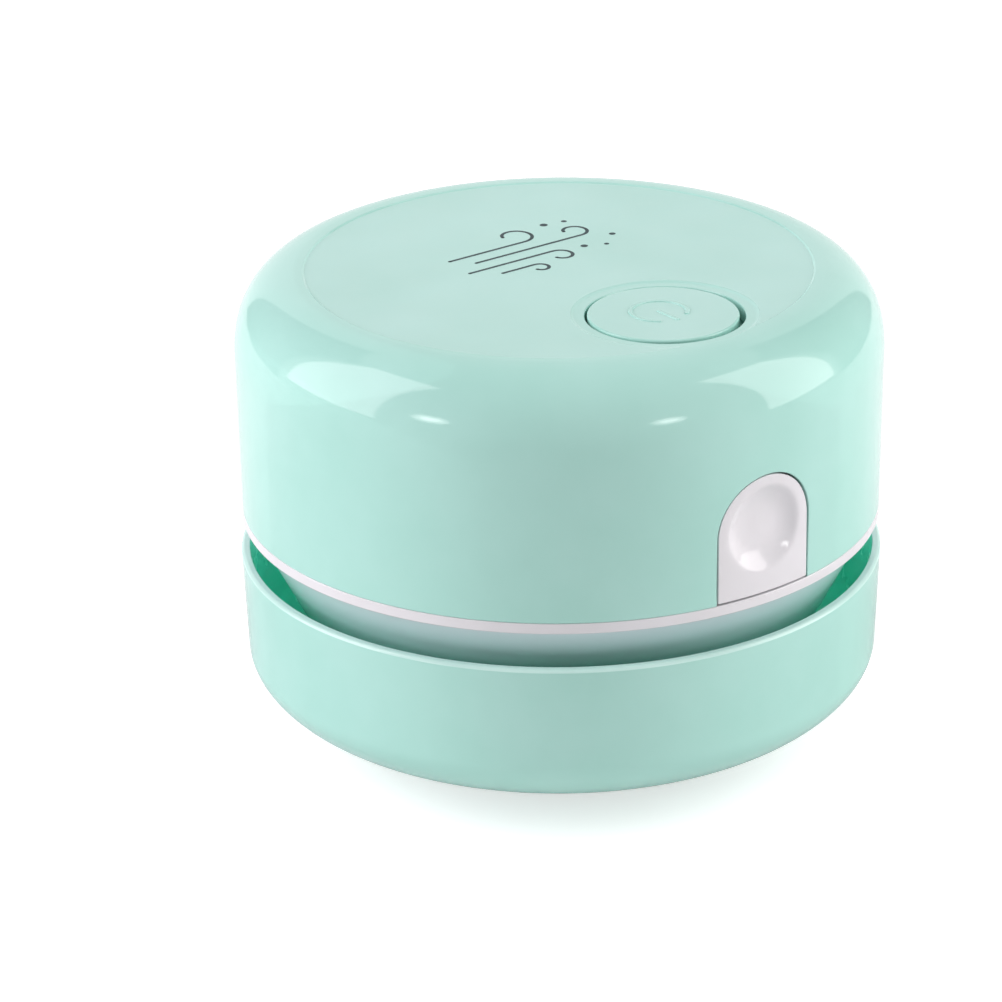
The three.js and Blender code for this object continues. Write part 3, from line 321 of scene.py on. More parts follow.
skirt_profile = filleted(
    [(BODY_RADIUS, SKIRT_RIM, RIM_FILLETS[1])]
    + wall_points((BODY_RADIUS, SKIRT_RIM), SKIRT_BEND, 6)
    + quarter_bend(SKIRT_BEND, SKIRT_FOOT, SKIRT_POWER)
    + [
        (RECESS_RADIUS, SKIRT_FOOT[1], 0.25),
        (RECESS_RADIUS, RECESS_ROOF),
        (SKIRT_HOLE, RECESS_ROOF),
        (SKIRT_HOLE, BOWL_SEAT[1]),
        BOWL_SEAT,
        (BOWL_SEAT[0], SKIRT_FOOT[1] + SKIRT_WALL),
    ]
    + quarter_bend(
        (SKIRT_BEND[0] - SKIRT_WALL, SKIRT_BEND[1]),
        (SKIRT_FOOT[0], SKIRT_FOOT[1] + SKIRT_WALL),
        SKIRT_POWER,
    )[::-1]
    + wall_points((SKIRT_BEND[0] - SKIRT_WALL, SKIRT_BEND[1]), (BODY_RADIUS - RIM_WALL, SKIRT_RIM), 6)
    + [(BODY_RADIUS - RIM_WALL, SKIRT_RIM, RIM_FILLETS[0])]
)
skirt = turned("skirt", skirt_profile)
settle(skirt, "base", "mint_plastic", "skirt_shell")


def inside_painted_shade(centre, normal):
    """True for a face of the skirt that looks inwards or up, below the rim's fillet: it takes the painted
    shade.
    """
    inwards = normal.x * centre.x + normal.y * centre.y < 0
    return centre.z < INNER_TOP and (inwards or normal.z > 0.5)


def on_rim(centre, normal):
    """True for the skirt's rim, down to the middle of its fillet: it takes the painted highlight."""
    return centre.z > SKIRT_RIM - RIM_BAND


# The inside of the skirt takes the deeper green of painted shade.
# The rim takes the paler green of a painted highlight.
paint(skirt, mint_polished, (mint_inner_painted_shade, inside_painted_shade), (mint_rim_painted_highlight, on_rim))

# The outlet bowl is a white cone round the dust cup, moulded in ABS in one with the ring under the
# head, which a fine groove sets off. Seven windows at its back let the fan's air out into the slot,
# and a lug inside the ring, at the front, catches the release tab's hook.
PARTING = 33.1
RING_BOTTOM = 31.6
RING_GROOVE = 0.3
COVER_FOOT_RADIUS = 42.2
CONE_TOP_RADIUS = 40.8
CONE_FOOT_RADIUS = 28.85
BOWL_BOTTOM = 7.7
BOWL_FLOOR_TOP = 9.3
BOWL_WALL = 1.6
TUBE_HOLE = 9.9
WINDOW_COUNT = 7
WINDOW_PITCH = 13
WINDOW_SIZE = (4.5, 6.5)
WINDOW_INSIDE = 31
WINDOW_TOP = 30.4
WINDOW_FILLET = 0.5
LUG_LOW = (-4, -40, 31.1)
LUG_HIGH = (4, -36.9, 33.1)


def rounded_block(name, low, high, fillet, segments=3):
    """A block with all its edges rounded off."""
    shape = bmesh.new()
    bmesh.ops.create_cube(shape, size=1)
    size = Vector(high) - Vector(low)
    bmesh.ops.transform(
        shape,
        matrix=Matrix.Translation((Vector(high) + Vector(low)) / 2) @ Matrix.Diagonal((*size, 1)),
        verts=shape.verts,
    )
    bmesh.ops.bevel(shape, geom=shape.edges, offset=fillet, segments=segments, profile=0.5, affect="EDGES")
    return as_piece(name, shape)


def combine(piece, operation, *tools):
    """Cuts the tools out of a piece, or fuses them with it, and takes them away."""
    for tool in tools:
        modifier = piece.modifiers.new("combine", "BOOLEAN")
        modifier.operation = operation
        modifier.solver = "EXACT"
        modifier.object = tool
    apply_modifiers(piece)
    for tool in tools:
        bpy.data.objects.remove(tool)


# White ABS from a polished mould: cool white and glossy, with a soft ripple in its reflections.
white_polished = moulded_plastic("white_abs_polished", ("#d9d9dc", "#dedee2"), (0.06, 0.1), 5, 0.006)

bowl_profile = filleted([
    (TUBE_HOLE, BOWL_BOTTOM),
    (CONE_FOOT_RADIUS, BOWL_BOTTOM, 0.8),
    *wall_points((CONE_FOOT_RADIUS, BOWL_BOTTOM), (CONE_TOP_RADIUS, RING_BOTTOM - RING_GROOVE), 8),
    (CONE_TOP_RADIUS, RING_BOTTOM - RING_GROOVE),
    (CONE_TOP_RADIUS - RING_GROOVE, RING_BOTTOM - RING_GROOVE),
    (CONE_TOP_RADIUS - RING_GROOVE, RING_BOTTOM),
    (COVER_FOOT_RADIUS, RING_BOTTOM, 0.3),
    (COVER_FOOT_RADIUS, PARTING, 0.15),
    (CONE_TOP_RADIUS - BOWL_WALL, PARTING, 0.2),
    (CONE_TOP_RADIUS - BOWL_WALL, RING_BOTTOM),
    (CONE_FOOT_RADIUS - BOWL_WALL + 0.8, BOWL_FLOOR_TOP),
    (TUBE_HOLE, BOWL_FLOOR_TOP),
])
bowl = turned("bowl", bowl_profile)
windows = []
for i in range(WINDOW_COUNT):
    window = rounded_block(
        "window",
        (WINDOW_INSIDE, -WINDOW_SIZE[0] / 2, WINDOW_TOP - WINDOW_SIZE[1]),
        (COVER_FOOT_RADIUS - 0.2, WINDOW_SIZE[0] / 2, WINDOW_TOP),
        WINDOW_FILLET,
    )
    window_way = math.radians(90 + WINDOW_PITCH * (i - (WINDOW_COUNT - 1) / 2))
    window.data.transform(Matrix.Rotation(window_way, 4, "Z"))
    windows.append(window)
combine(bowl, "DIFFERENCE", *windows)
combine(bowl, "UNION", rounded_block("lug", LUG_LOW, LUG_HIGH, 0.3))
settle(bowl, "base", "white_plastic", "outlet_bowl")

# The same ABS on the cone, with painted light and shade in its colour: a greyer white for the slot's
# shade, turning lower down to pale mint for the skirt's mint light, over seven millimetres.
CONE_PAINTED_LEVELS = (31.3, 24.3)
white_painted_mint_light_and_shade = new_material("white_abs_polished_painted_mint_light_and_shade")
cone_place = add_node(white_painted_mint_light_and_shade, "TexCoord").outputs["Object"]
cone_parts = add_node(white_painted_mint_light_and_shade, "SeparateXYZ", links={"Vector": cone_place})
cone_depth = add_node(
    white_painted_mint_light_and_shade,
    "MapRange",
    {"From Min": CONE_PAINTED_LEVELS[0] * MM, "From Max": CONE_PAINTED_LEVELS[1] * MM},
    {"Value": cone_parts.outputs["Z"]},
)
cone_painted_tint = add_node(white_painted_mint_light_and_shade, "ValToRGB", links={"Fac": cone_depth.outputs["Result"]})
set_shades(cone_painted_tint, ("#c6d7db", "#b9ecea"))
cone_flow = add_node(white_painted_mint_light_and_shade, "TexNoise", {"Scale": 1 / (5 * MM)}, {"Vector": cone_place})
surfaced(
    white_painted_mint_light_and_shade,
    {"IOR": ABS_IOR, "Roughness": 0.16},
    {"Base Color": cone_painted_tint.outputs["Color"]},
    cone_flow.outputs["Fac"],
    0.006,
)


def on_cone(centre, normal):
    """True for the outside of the cone, under the ring and its groove, which takes the painted light and
    shade.
    """
    share = (centre.z - BOWL_BOTTOM) / (RING_BOTTOM - RING_GROOVE - BOWL_BOTTOM)
    wall = CONE_FOOT_RADIUS + (CONE_TOP_RADIUS - CONE_FOOT_RADIUS) * share
    return centre.z < RING_BOTTOM - RING_GROOVE and math.hypot(centre.x, centre.y) > wall - 0.3


# The cone's outside takes the painted mint light and shade.
paint(bowl, white_polished, (white_painted_mint_light_and_shade, on_cone))

# The dust cup stands in the bowl and holds the dust. It is moulded in white ABS, with a satin skin.
# Three bosses round its hole take the screws that come up through the brush plate.
CUP_FLOOR = (9.3, 10.8)
CUP_FOOT_RADIUS = 27.75
CUP_TOP = (31.5, 32.7)
CUP_WALL = 1.5
SCREW_CIRCLE = 14.15
SCREW_WAYS = (90, 210, 330)
BOSS_RADIUS = 2.6
BOSS_TOP = 12.9
BOSS_STEPS = 48
screw_places = [
    (SCREW_CIRCLE * math.cos(math.radians(way)), SCREW_CIRCLE * math.sin(math.radians(way)))
    for way in SCREW_WAYS
]


def four_corners(across, levels, fillets=None, steps=5):
    """The closed outline of a rectangle, from the near corner of its foot round to that of its top,
    with a fillet for each corner if it has any."""
    corners = [(across[0], levels[0]), (across[1], levels[0]), (across[1], levels[1]), (across[0], levels[1])]
    if not fillets:
        return corners
    rounded = [(*corner, fillet) if fillet else corner for corner, fillet in zip(corners, fillets)]
    return filleted(rounded, steps)


def turned_at(places, name, profile, steps):
    """The same turned solid at each of some places."""
    return [turned(name, profile, place, steps) for place in places]


def joined(name, *pieces):
    """One piece made of several solids that stand in each other."""
    shape = bmesh.new()
    for piece in pieces:
        shape.from_mesh(piece.data)
        bpy.data.objects.remove(piece)
    return as_piece(name, shape)


# White ABS from a spark-eroded mould: satin, so its reflections are broad and dim.
white_satin = moulded_plastic("white_abs_satin", ("#dfe2e2", "#e8eaea"), (0.35, 0.45), 0.25, 0.012)

cup_wall = turned("cup_wall", filleted([
    (TUBE_HOLE, CUP_FLOOR[0]),
    (CUP_FOOT_RADIUS, CUP_FLOOR[0], 0.6),
    (CUP_TOP[0], CUP_TOP[1], 0.3),
    (CUP_TOP[0] - CUP_WALL, CUP_TOP[1], 0.3),
    (CUP_FOOT_RADIUS - CUP_WALL, CUP_FLOOR[1], 1.2),
    (TUBE_HOLE, CUP_FLOOR[1]),
]))
boss_profile = four_corners((0, BOSS_RADIUS), (CUP_FLOOR[0], BOSS_TOP), (0, 0, 0.4, 0))
cup = joined("cup", cup_wall, *turned_at(screw_places, "boss", boss_profile, BOSS_STEPS))
settle(cup, "base", "white_plastic", "dust_cup")
paint(cup, white_satin)

# The inlet tube is a grey ABS tube in the middle of the cup. The dust comes up through it and
# falls over its top edge into the cup. The brush plate holds its flange up against the bowl.
TUBE_BORE = 8
TUBE_RADIUS = 9.6
TUBE_TOP = 19.9
TUBE_FLANGE = 11

# Grey ABS with a satin skin, for parts that are only seen when the cleaner is open.
grey_satin = moulded_plastic("grey_abs_satin", ("#8d9396", "#979da0"), (0.35, 0.48), 0.25, 0.012)

tube = turned("tube", filleted([
    (TUBE_BORE, RECESS_ROOF, 0.3),
    (TUBE_FLANGE, RECESS_ROOF, 0.2),
    (TUBE_FLANGE, BOWL_BOTTOM),
    (TUBE_RADIUS, BOWL_BOTTOM),
    (TUBE_RADIUS, TUBE_TOP, 0.5),
    (TUBE_BORE, TUBE_TOP, 0.5),
]))
settle(tube, "base", "grey_plastic", "inlet_tube")
paint(tube, grey_satin)

# The brush plate closes the base from below, moulded in white ABS.
# A groove in it holds the bristle strips, and three screws in sunk seats fasten it to the cup.
PLATE_BOTTOM = 4.3
PLATE_RADIUS = 22.7
GROOVE = (17.0, 21.4)
GROOVE_ROOF = 5.5
SCREW_SEAT = (2.3, 0.9)
SEAT_STEPS = 64

plate = turned("plate", filleted([
    (TUBE_BORE, PLATE_BOTTOM, 0.5),
    (GROOVE[0], PLATE_BOTTOM, 0.2),
    (GROOVE[0], GROOVE_ROOF),
    (GROOVE[1], GROOVE_ROOF),
    (GROOVE[1], PLATE_BOTTOM, 0.2),
    (PLATE_RADIUS, PLATE_BOTTOM, 0.3),
    (PLATE_RADIUS, RECESS_ROOF),
    (TUBE_BORE, RECESS_ROOF),
]))
seat_profile = filleted([
    (0, PLATE_BOTTOM - 1),
    (SCREW_SEAT[0] + 1.2, PLATE_BOTTOM - 1),
    (SCREW_SEAT[0], PLATE_BOTTOM + 0.2),
    (SCREW_SEAT[0], PLATE_BOTTOM + SCREW_SEAT[1], 0.15),
    (0, PLATE_BOTTOM + SCREW_SEAT[1]),
])
combine(plate, "DIFFERENCE", *turned_at(screw_places, "seat", seat_profile, SEAT_STEPS))
settle(plate, "base", "white_plastic", "brush_plate")
paint(plate, white_satin)

# The bristle strips are four curved brushes in the plate's groove, of white nylon filament.
# The filament is set in a moulded backing, leans out a little and is cut level at the foot.
STRIP_COUNT = 4
STRIP_SPAN = 86
STRIP_RADIUS = 19.2
STRIP_EDGES = (17.3, 21.1)
BACKING_BOTTOM = 4.0
BACKING_STEPS = 60
FILAMENT_RADIUS = 0.13
FILAMENT_ROWS = 9
FILAMENTS_IN_ROW = 96
FILAMENT_SIDES = 5
ROW_STEP = 0.38
FILAMENT_LEAN = 0.5
FILAMENT_STRAY = 0.12


def skinned(shape, rings, ends):
    """Adds the faces between closed rings of vertices, and those over its ends."""
    for near, far in zip(rings, rings[1:]):
        for k in range(len(near)):
            after = (k + 1) % len(near)
            shape.faces.new((near[k], near[after], far[after], far[k]))
    for end in ends:
        shape.faces.new(end)


def filament_shape(shape, rng, angle, offset):
    """Adds one filament, from inside the backing down to its cut tip."""
    stray = [rng.uniform(-FILAMENT_STRAY, FILAMENT_STRAY) for _ in range(4)]
    out = Vector((math.cos(angle), math.sin(angle), 0))
    side = Vector((-out.y, out.x, 0))
    root = out * (STRIP_RADIUS + offset + stray[0]) + side * stray[1] + Vector((0, 0, BACKING_BOTTOM + 0.3))
    lean = FILAMENT_LEAN * offset / ROW_STEP / FILAMENT_ROWS * 2
    tip = out * (STRIP_RADIUS + offset + lean + stray[2] * 2) + side * stray[3] * 2
    rings = []
    for centre in (root, root.lerp(tip, 0.5) + out * stray[2] * 0.3, tip):
        ring = []
        for k in range(FILAMENT_SIDES):
            around = 2 * math.pi * k / FILAMENT_SIDES
            from_centre = (out * math.cos(around) + side * math.sin(around)) * FILAMENT_RADIUS
            ring.append(shape.verts.new(centre + from_centre))
        rings.append(ring)
    skinned(shape, rings, rings[-1:])


def strip(index):
    """One strip: its backing and its filaments."""
    rng = random.Random(index)
    start = index * 360 / STRIP_COUNT + (360 / STRIP_COUNT - STRIP_SPAN) / 2
    profile = four_corners(STRIP_EDGES, (BACKING_BOTTOM, GROOVE_ROOF), (0.4, 0.4, 0, 0))
    backing = turned("backing", profile, steps=BACKING_STEPS, start=start, span=STRIP_SPAN)
    shape = bmesh.new()
    for row in range(FILAMENT_ROWS):
        offset = (row - (FILAMENT_ROWS - 1) / 2) * ROW_STEP
        for i in range(FILAMENTS_IN_ROW):
            share = (i + 0.5 + 0.25 * (-1) ** row) / FILAMENTS_IN_ROW
            filament_shape(shape, rng, math.radians(start + 1 + (STRIP_SPAN - 2) * share), offset)
    return joined(f"bristles_{index + 1}", backing, as_piece("filaments", shape))


# Nylon filament: drawn, so it is smooth, and each strand takes its own slight tint of ivory.
nylon = new_material("nylon_filament_drawn")
strand = add_node(nylon, "NewGeometry").outputs["Random Per Island"]
strand_tint = add_node(nylon, "ValToRGB", links={"Fac": strand})
set_shades(strand_tint, ("#d9dad4", "#f1f1ec"))
surfaced(nylon, {"IOR": 1.53, "Roughness": 0.35}, {"Base Color": strand_tint.outputs["Color"]})

for i in range(STRIP_COUNT):
    bristles = strip(i)
    settle(bristles, "base", "nylon_bristle", f"brush_strip_{i + 1}")
    paint(bristles, nylon)

# The base screws are three small pan-head screws of zinc-plated steel with a cross recess.
# They come up through the plate, the skirt, the bowl and the cup's bosses, with their heads down.
# A screw is given by its head's radius and height, its shank's radius and its length.
BASE_SCREW = (2.0, 0.9, 0.95, 6.2)
SCREW_STEPS = 48
SCREW_CORE = 0.8
HEAD_FLAT = 0.55
HEAD_CROWN = 0.35
RECESS_LENGTH = 1.2
RECESS_WIDTH = 0.55
RECESS_DEPTH = 0.62
RECESS_TAPER = 0.45
RECESS_TURN = 20


def cross_screw(name, place, level, head_radius, head_height, shank_radius, length):
    """A pan-head screw with its head down, a tapered cross recess and a thread on its shank."""
    neck = level + head_height
    top = neck + length
    core = pitch = shank_radius * SCREW_CORE
    thread = []
    for i in range(int((length - 2 * pitch) / pitch)):
        foot = neck + pitch * (i + 1)
        thread += [(core, foot), (shank_radius, foot + pitch / 2)]
    profile = filleted([
        (0, level),
        (head_radius * HEAD_FLAT, level),
        (head_radius, level + head_height * HEAD_CROWN, head_radius * 0.15),
        (head_radius, neck),
        (core, neck),
        *thread,
        (core, top - pitch),
        (0, top),
    ])
    screw = turned(name, profile, place, SCREW_STEPS)
    arms = []
    for quarter in (0, 90):
        arm = bmesh.new()
        bmesh.ops.create_cube(arm, size=1)
        for corner in arm.verts:
            at_bottom = corner.co.z > 0
            corner.co.x *= head_radius * RECESS_LENGTH * (RECESS_TAPER if at_bottom else 1.0)
            corner.co.y *= shank_radius * RECESS_WIDTH
            corner.co.z = level + (head_height * RECESS_DEPTH if at_bottom else -0.5)
        way = Matrix.Rotation(math.radians(quarter + RECESS_TURN), 3, "Z")
        bmesh.ops.rotate(arm, verts=arm.verts, matrix=way)
        bmesh.ops.translate(arm, verts=arm.verts, vec=(*place, 0))
        arms.append(as_piece("arm", arm))
    combine(screw, "DIFFERENCE", *arms)
    return screw


def bare_metal(name, shade, roughness, grain, depth, stretch=(1, 1, 1)):
    """A metal whose fine marks are drawn out along the way it was made."""
    material = new_material(name)
    place = add_node(material, "TexCoord").outputs["Object"]
    along = add_node(material, "Mapping", {"Scale": stretch}, {"Vector": place}).outputs["Vector"]
    marks = add_node(material, "TexNoise", {"Scale": 1 / (grain * MM), "Detail": 4.0}, {"Vector": along})
    surfaced(
        material,
        {"Base Color": hex_to_linear(shade), "Metallic": 1.0},
        {},
        marks.outputs["Fac"],
        depth,
        marks.outputs["Fac"],
        roughness,
    )
    return material


# Zinc-plated steel: a bright, slightly blue grey with the soft grain of the plating bath.
zinc_plate = bare_metal("steel_zinc_plated", "#b4b8bc", (0.22, 0.38), 0.15, 0.004)

for i, place in enumerate(screw_places):
    screw = cross_screw(f"plate_screw_{i + 1}", place, PLATE_BOTTOM, *BASE_SCREW)
    settle(screw, "base", "screw_steel", f"base_screw_{i + 1}")
    paint(screw, zinc_plate)

# The fan base is the head's floor, moulded in white ABS, with an eye in the middle for the air.
# The collar under it holds the filter by three bayonet lips, and its outlets lie at the back.
# Four bosses on its top carry the motor plate, and the head screws sink into them from below.
BASE_LEVELS = (33.4, 34.9)
BASE_RADIUS = 39.9
EYE_RADIUS = 12
COLLAR = (26.9, 28.4)
COLLAR_BOTTOM = 27.4
LIP = (25.0, 27.6)
LIP_LEVELS = (29.0, 30.4)
LIP_ANGLE = 40
ARC_STEPS = 32
BAYONET_WAYS = (0, 120, 240)
OUTLET = (36.0, 38.6)
OUTLET_COUNT = 4
OUTLET_ANGLE = 26
OUTLET_PITCH = 31
HEAD_SCREW_CIRCLE = 35.24
HEAD_SCREW_ANGLE = 58.35
HEAD_BOSS = (4.2, 40.5)
HEAD_SEAT = (2.9, 1.7)
TAB_ROOM = ((-9.3, -43, 33), (9.3, -35.68, 43))
HOOK_ROOM = ((-3.8, -43, 33), (3.8, -31.7, 43))
head_screw_x = HEAD_SCREW_CIRCLE * math.cos(math.radians(HEAD_SCREW_ANGLE))
head_screw_y = HEAD_SCREW_CIRCLE * math.sin(math.radians(HEAD_SCREW_ANGLE))
head_screw_places = [(side * head_screw_x, end * head_screw_y) for side in (1, -1) for end in (1, -1)]


def arcs(name, profile, middles, span):
    """Arcs turned from one profile, each with the same span about its middle."""
    return [turned(name, profile, steps=ARC_STEPS, start=middle - span / 2, span=span) for middle in middles]


floor_plate = turned("floor_plate", four_corners((EYE_RADIUS, BASE_RADIUS), BASE_LEVELS, (0.4, 0.3, 0, 0.4)))
outlets = arcs(
    "outlet",
    four_corners(OUTLET, (BASE_LEVELS[0] - 1, BASE_LEVELS[1] + 1)),
    [90 + OUTLET_PITCH * (i - (OUTLET_COUNT - 1) / 2) for i in range(OUTLET_COUNT)],
    OUTLET_ANGLE,
)
head_boss_levels = (BASE_LEVELS[0] + 0.1, HEAD_BOSS[1])
head_boss_profile = four_corners((0, HEAD_BOSS[0]), head_boss_levels, (0, 0, 0.2, 0))
head_seat_profile = [
    (0, BASE_LEVELS[0] - 1),
    (HEAD_SEAT[0] + 0.3, BASE_LEVELS[0] - 1),
    (HEAD_SEAT[0] + 0.3, BASE_LEVELS[0]),
    (HEAD_SEAT[0], BASE_LEVELS[0] + 0.3),
    (HEAD_SEAT[0], BASE_LEVELS[0] + HEAD_SEAT[1]),
    (0, BASE_LEVELS[0] + HEAD_SEAT[1]),
]
combine(floor_plate, "UNION", *turned_at(head_screw_places, "head_boss", head_boss_profile, SEAT_STEPS))
combine(
    floor_plate,
    "DIFFERENCE",
    *outlets,
    *turned_at(head_screw_places, "head_seat", head_seat_profile, SEAT_STEPS),
    rounded_block("tab_room", *TAB_ROOM, 0.3),
    rounded_block("hook_room", *HOOK_ROOM, 0.3),
)
collar = turned("collar", four_corners(COLLAR, (COLLAR_BOTTOM, BASE_LEVELS[0] + 0.1), (0.4, 0.4, 0, 0)))
lips = arcs("lip", four_corners(LIP, LIP_LEVELS, (0.25, 0, 0, 0.25)), BAYONET_WAYS, LIP_ANGLE)
head_floor = joined("head_floor", floor_plate, collar, *lips)
settle(head_floor, "head", "white_plastic", "fan_base")
paint(head_floor, white_satin)

# The cup seal is a flat ring of grey silicone, pressed into place round the collar.
# It closes the dust cup when the head is on.
SEAL = (30.0, 31.5)
SEAL_LEVELS = (32.7, 33.4)

# Silicone rubber: matt and soft, with the bloom that it picks up as it is handled.
silicone = moulded_plastic("silicone_moulded", ("#858b8d", "#90969a"), (0.6, 0.75), 0.35, 0.02, 6, 1.41)

seal = turned("seal", four_corners(SEAL, SEAL_LEVELS, (0.2, 0.2, 0, 0)))
settle(seal, "head", "grey_silicone", "cup_seal")
paint(seal, silicone)

# The head screws are four long screws that go up through the fan base's bosses and the motor plate
# into the posts of the top cover, and hold the head together.
HEAD_SCREW = (2.6, 1.7, 1.2, 11.5)

for i, place in enumerate(head_screw_places):
    screw = cross_screw(f"cover_screw_{i + 1}", place, BASE_LEVELS[0], *HEAD_SCREW)
    settle(screw, "head", "screw_steel", f"head_screw_{i + 1}")
    paint(screw, zinc_plate)

# The motor plate closes the fan's room from above, moulded in grey ABS, with two saddles for the
# battery and a seat for the tab's spring. It shows only when the cover is off.


def dress(material, *nodes):
    """Gives CAD nodes that stay in the scene their finish."""
    for name in nodes:
        for material_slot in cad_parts[name].material_slots:
            material_slot.material = material


dress(grey_satin, "motor_plate")

# The motor is a small direct current motor: a deep-drawn can with two ferrite magnets inside, a
# moulded end cap, and two screws that come up through the plate into the can.
# Deep-drawn steel: nickel-plated, with the upright streaks that the drawing die leaves.
drawn_steel = bare_metal("steel_deep_drawn", "#a9acae", (0.2, 0.34), 0.3, 0.004, (1, 1, 0.08))
# Sintered ferrite: dark grey, dull and slightly granular.
ferrite = moulded_plastic("ferrite_sintered", ("#3c3e40", "#4a4c4e"), (0.55, 0.7), 0.12, 0.02, 3, 1.6)
# Black nylon with glass fibre: nearly matt, as the fibre shows at its skin.
black_nylon = moulded_plastic("nylon_glass_filled_black", ("#202224", "#2a2c2e"), (0.4, 0.55), 0.2, 0.012)
dress(drawn_steel, "motor_can")
dress(black_nylon, "motor_cap")
dress(ferrite, "motor_magnet_1", "motor_magnet_2")
dress(zinc_plate, "motor_screw_1", "motor_screw_2")

# The fan turns on the motor's shaft: the rotor inside the can and the impeller under the plate.
# The rotor is a stack of punched steel sheets, and the impeller is moulded in white ABS.
# Ground steel: the shaft's fine rings run round it.
ground_steel = bare_metal("steel_ground", "#c4c6c8", (0.1, 0.2), 0.08, 0.002, (0.1, 0.1, 1))
# Punched sheet stack: each half millimetre sheet shows as a ring, drawn here with level streaks.
sheet_stack = bare_metal("steel_sheet_stack", "#8c8f92", (0.3, 0.5), 0.5, 0.02, (0.05, 0.05, 1))
dress(ground_steel, "motor_shaft")
dress(sheet_stack, "motor_rotor")
dress(white_satin, "impeller")

# The battery is one lithium cell in a shrunk PVC sleeve, lying in the plate's two saddles.
# Shrunk PVC: thin, blue and glossy, with soft waves across it.
pvc_sleeve = moulded_plastic("pvc_shrink_sleeve", ("#3674ab", "#3f7fb5"), (0.18, 0.3), 2.5, 0.04, 10)
dress(pvc_sleeve, "battery_cell")

# The circuit board hangs under the roof on four screws, and carries the switch, the charging
# socket and the lamp. It is glass-filled epoxy with a green solder mask.
# Solder mask: the copper runs under it show as slightly lighter steps on a grid of 1.27 mm.
solder_mask = new_material("epoxy_board_solder_mask")
board_place = add_node(solder_mask, "TexCoord").outputs["Object"]
runs = add_node(
    solder_mask,
    "TexBrick",
    {
        "Scale": 1 / (2.54 * MM),
        "Mortar Size": 0.12,
        "Color1": hex_to_linear("#23603d"),
        "Color2": hex_to_linear("#276844"),
        "Mortar": hex_to_linear("#3b8459"),
    },
    {"Vector": board_place},
)
surfaced(
    solder_mask,
    {"IOR": 1.55, "Roughness": 0.28},
    {"Base Color": runs.outputs["Color"]},
    runs.outputs["Fac"],
    0.035,
)
dress(solder_mask, "circuit_board")
dress(zinc_plate, "board_screw_1", "board_screw_2", "board_screw_3", "board_screw_4")
dress(black_nylon, "switch_body", "switch_plunger")

# The charging socket is a folded steel shell with a black tongue in it, soldered under the board.
# A cable goes into it through the slot in the cover's back.
SOCKET_HALF = 4.5
SOCKET_LEVELS = (51.7, 55.0)
SOCKET_BACK = 41.2
SOCKET_FRONT = 34.0
SOCKET_FILLET = 1.2
SOCKET_SHEET = 0.35
TONGUE_LOW = (-3.3, 34.2, 53.0)
TONGUE_HIGH = (3.3, 40.2, 53.7)


def drawn_out(name, outline, front, back):
    """A solid drawn out along Y from an outline of (X, Z) points."""
    shape = bmesh.new()
    near = [shape.verts.new((x, front, z)) for x, z in outline]
    far = [shape.verts.new((x, back, z)) for x, z in outline]
    shape.faces.new(near)
    shape.faces.new(list(reversed(far)))
    band(shape, near, far)
    return as_piece(name, shape)


def rounded_rectangle(half_width, levels, fillet):
    """An outline in X and Z, with round corners."""
    return four_corners((-half_width, half_width), levels, [fillet] * 4, 8)


socket_outline = rounded_rectangle(SOCKET_HALF, SOCKET_LEVELS, SOCKET_FILLET)
socket_shell = drawn_out("socket_shell", socket_outline, SOCKET_FRONT, SOCKET_BACK)
socket_mouth = drawn_out(
    "socket_mouth",
    rounded_rectangle(
        SOCKET_HALF - SOCKET_SHEET,
        (SOCKET_LEVELS[0] + SOCKET_SHEET, SOCKET_LEVELS[1] - SOCKET_SHEET),
        SOCKET_FILLET - SOCKET_SHEET,
    ),
    SOCKET_FRONT + SOCKET_SHEET,
    SOCKET_BACK + 1,
)
combine(socket_shell, "DIFFERENCE", socket_mouth)
tongue = rounded_block("tongue", TONGUE_LOW, TONGUE_HIGH, 0.15)
socket = joined("socket", socket_shell, tongue)
settle(socket, "head", "motor_steel", "charging_socket")


def on_tongue(centre, normal):
    """True for a face of the tongue, which stands clear inside the shell."""
    beside = abs(centre.x) < TONGUE_HIGH[0] + 0.1
    level = TONGUE_LOW[2] - 0.1 < centre.z < TONGUE_HIGH[2] + 0.1
    return beside and level and centre.y > SOCKET_FRONT + 0.5


paint(socket, drawn_steel, (black_nylon, on_tongue))

# The charge lamp is a clear epoxy light diode. Its round tip looks out of a hole beside the slot.
LAMP_X = 9.5
LAMP_LEVEL = 53.3
LAMP_RADIUS = 1.0
LAMP_BODY = ((8.2, 35.0, 52.3), (10.8, 37.5, 55.0))
LENS_FOOT = 36
LENS_STEPS = 40
LAMP_TIP = 40.8


def laid_down(piece, foot):
    """Lays an upright piece down, so that its axis runs back along Y from its foot."""
    piece.data.transform(Matrix.Translation(foot) @ Matrix.Rotation(-math.pi / 2, 4, "X"))
    return piece


# Clear epoxy: cast, water clear with a slight milkiness, so that the tip looks pale.
epoxy = new_material("epoxy_cast_clear")
surfaced(
    epoxy,
    {"IOR": 1.5, "Roughness": 0.12, "Transmission Weight": 0.5},
    {"Base Color": mottled(epoxy, 0.6, ("#e8e2dd", "#fbf7f3"))},
)

lens_profile = four_corners((0, LAMP_RADIUS), (0, LAMP_TIP - LENS_FOOT), (0, 0, 0.7, 0))
lens = laid_down(turned("lens", lens_profile, steps=LENS_STEPS), (LAMP_X, LENS_FOOT, LAMP_LEVEL))
lamp = joined("lamp", lens, rounded_block("lamp_foot", *LAMP_BODY, 0.2))
settle(lamp, "head", "clear_lens", "charge_lamp")
paint(lamp, epoxy)

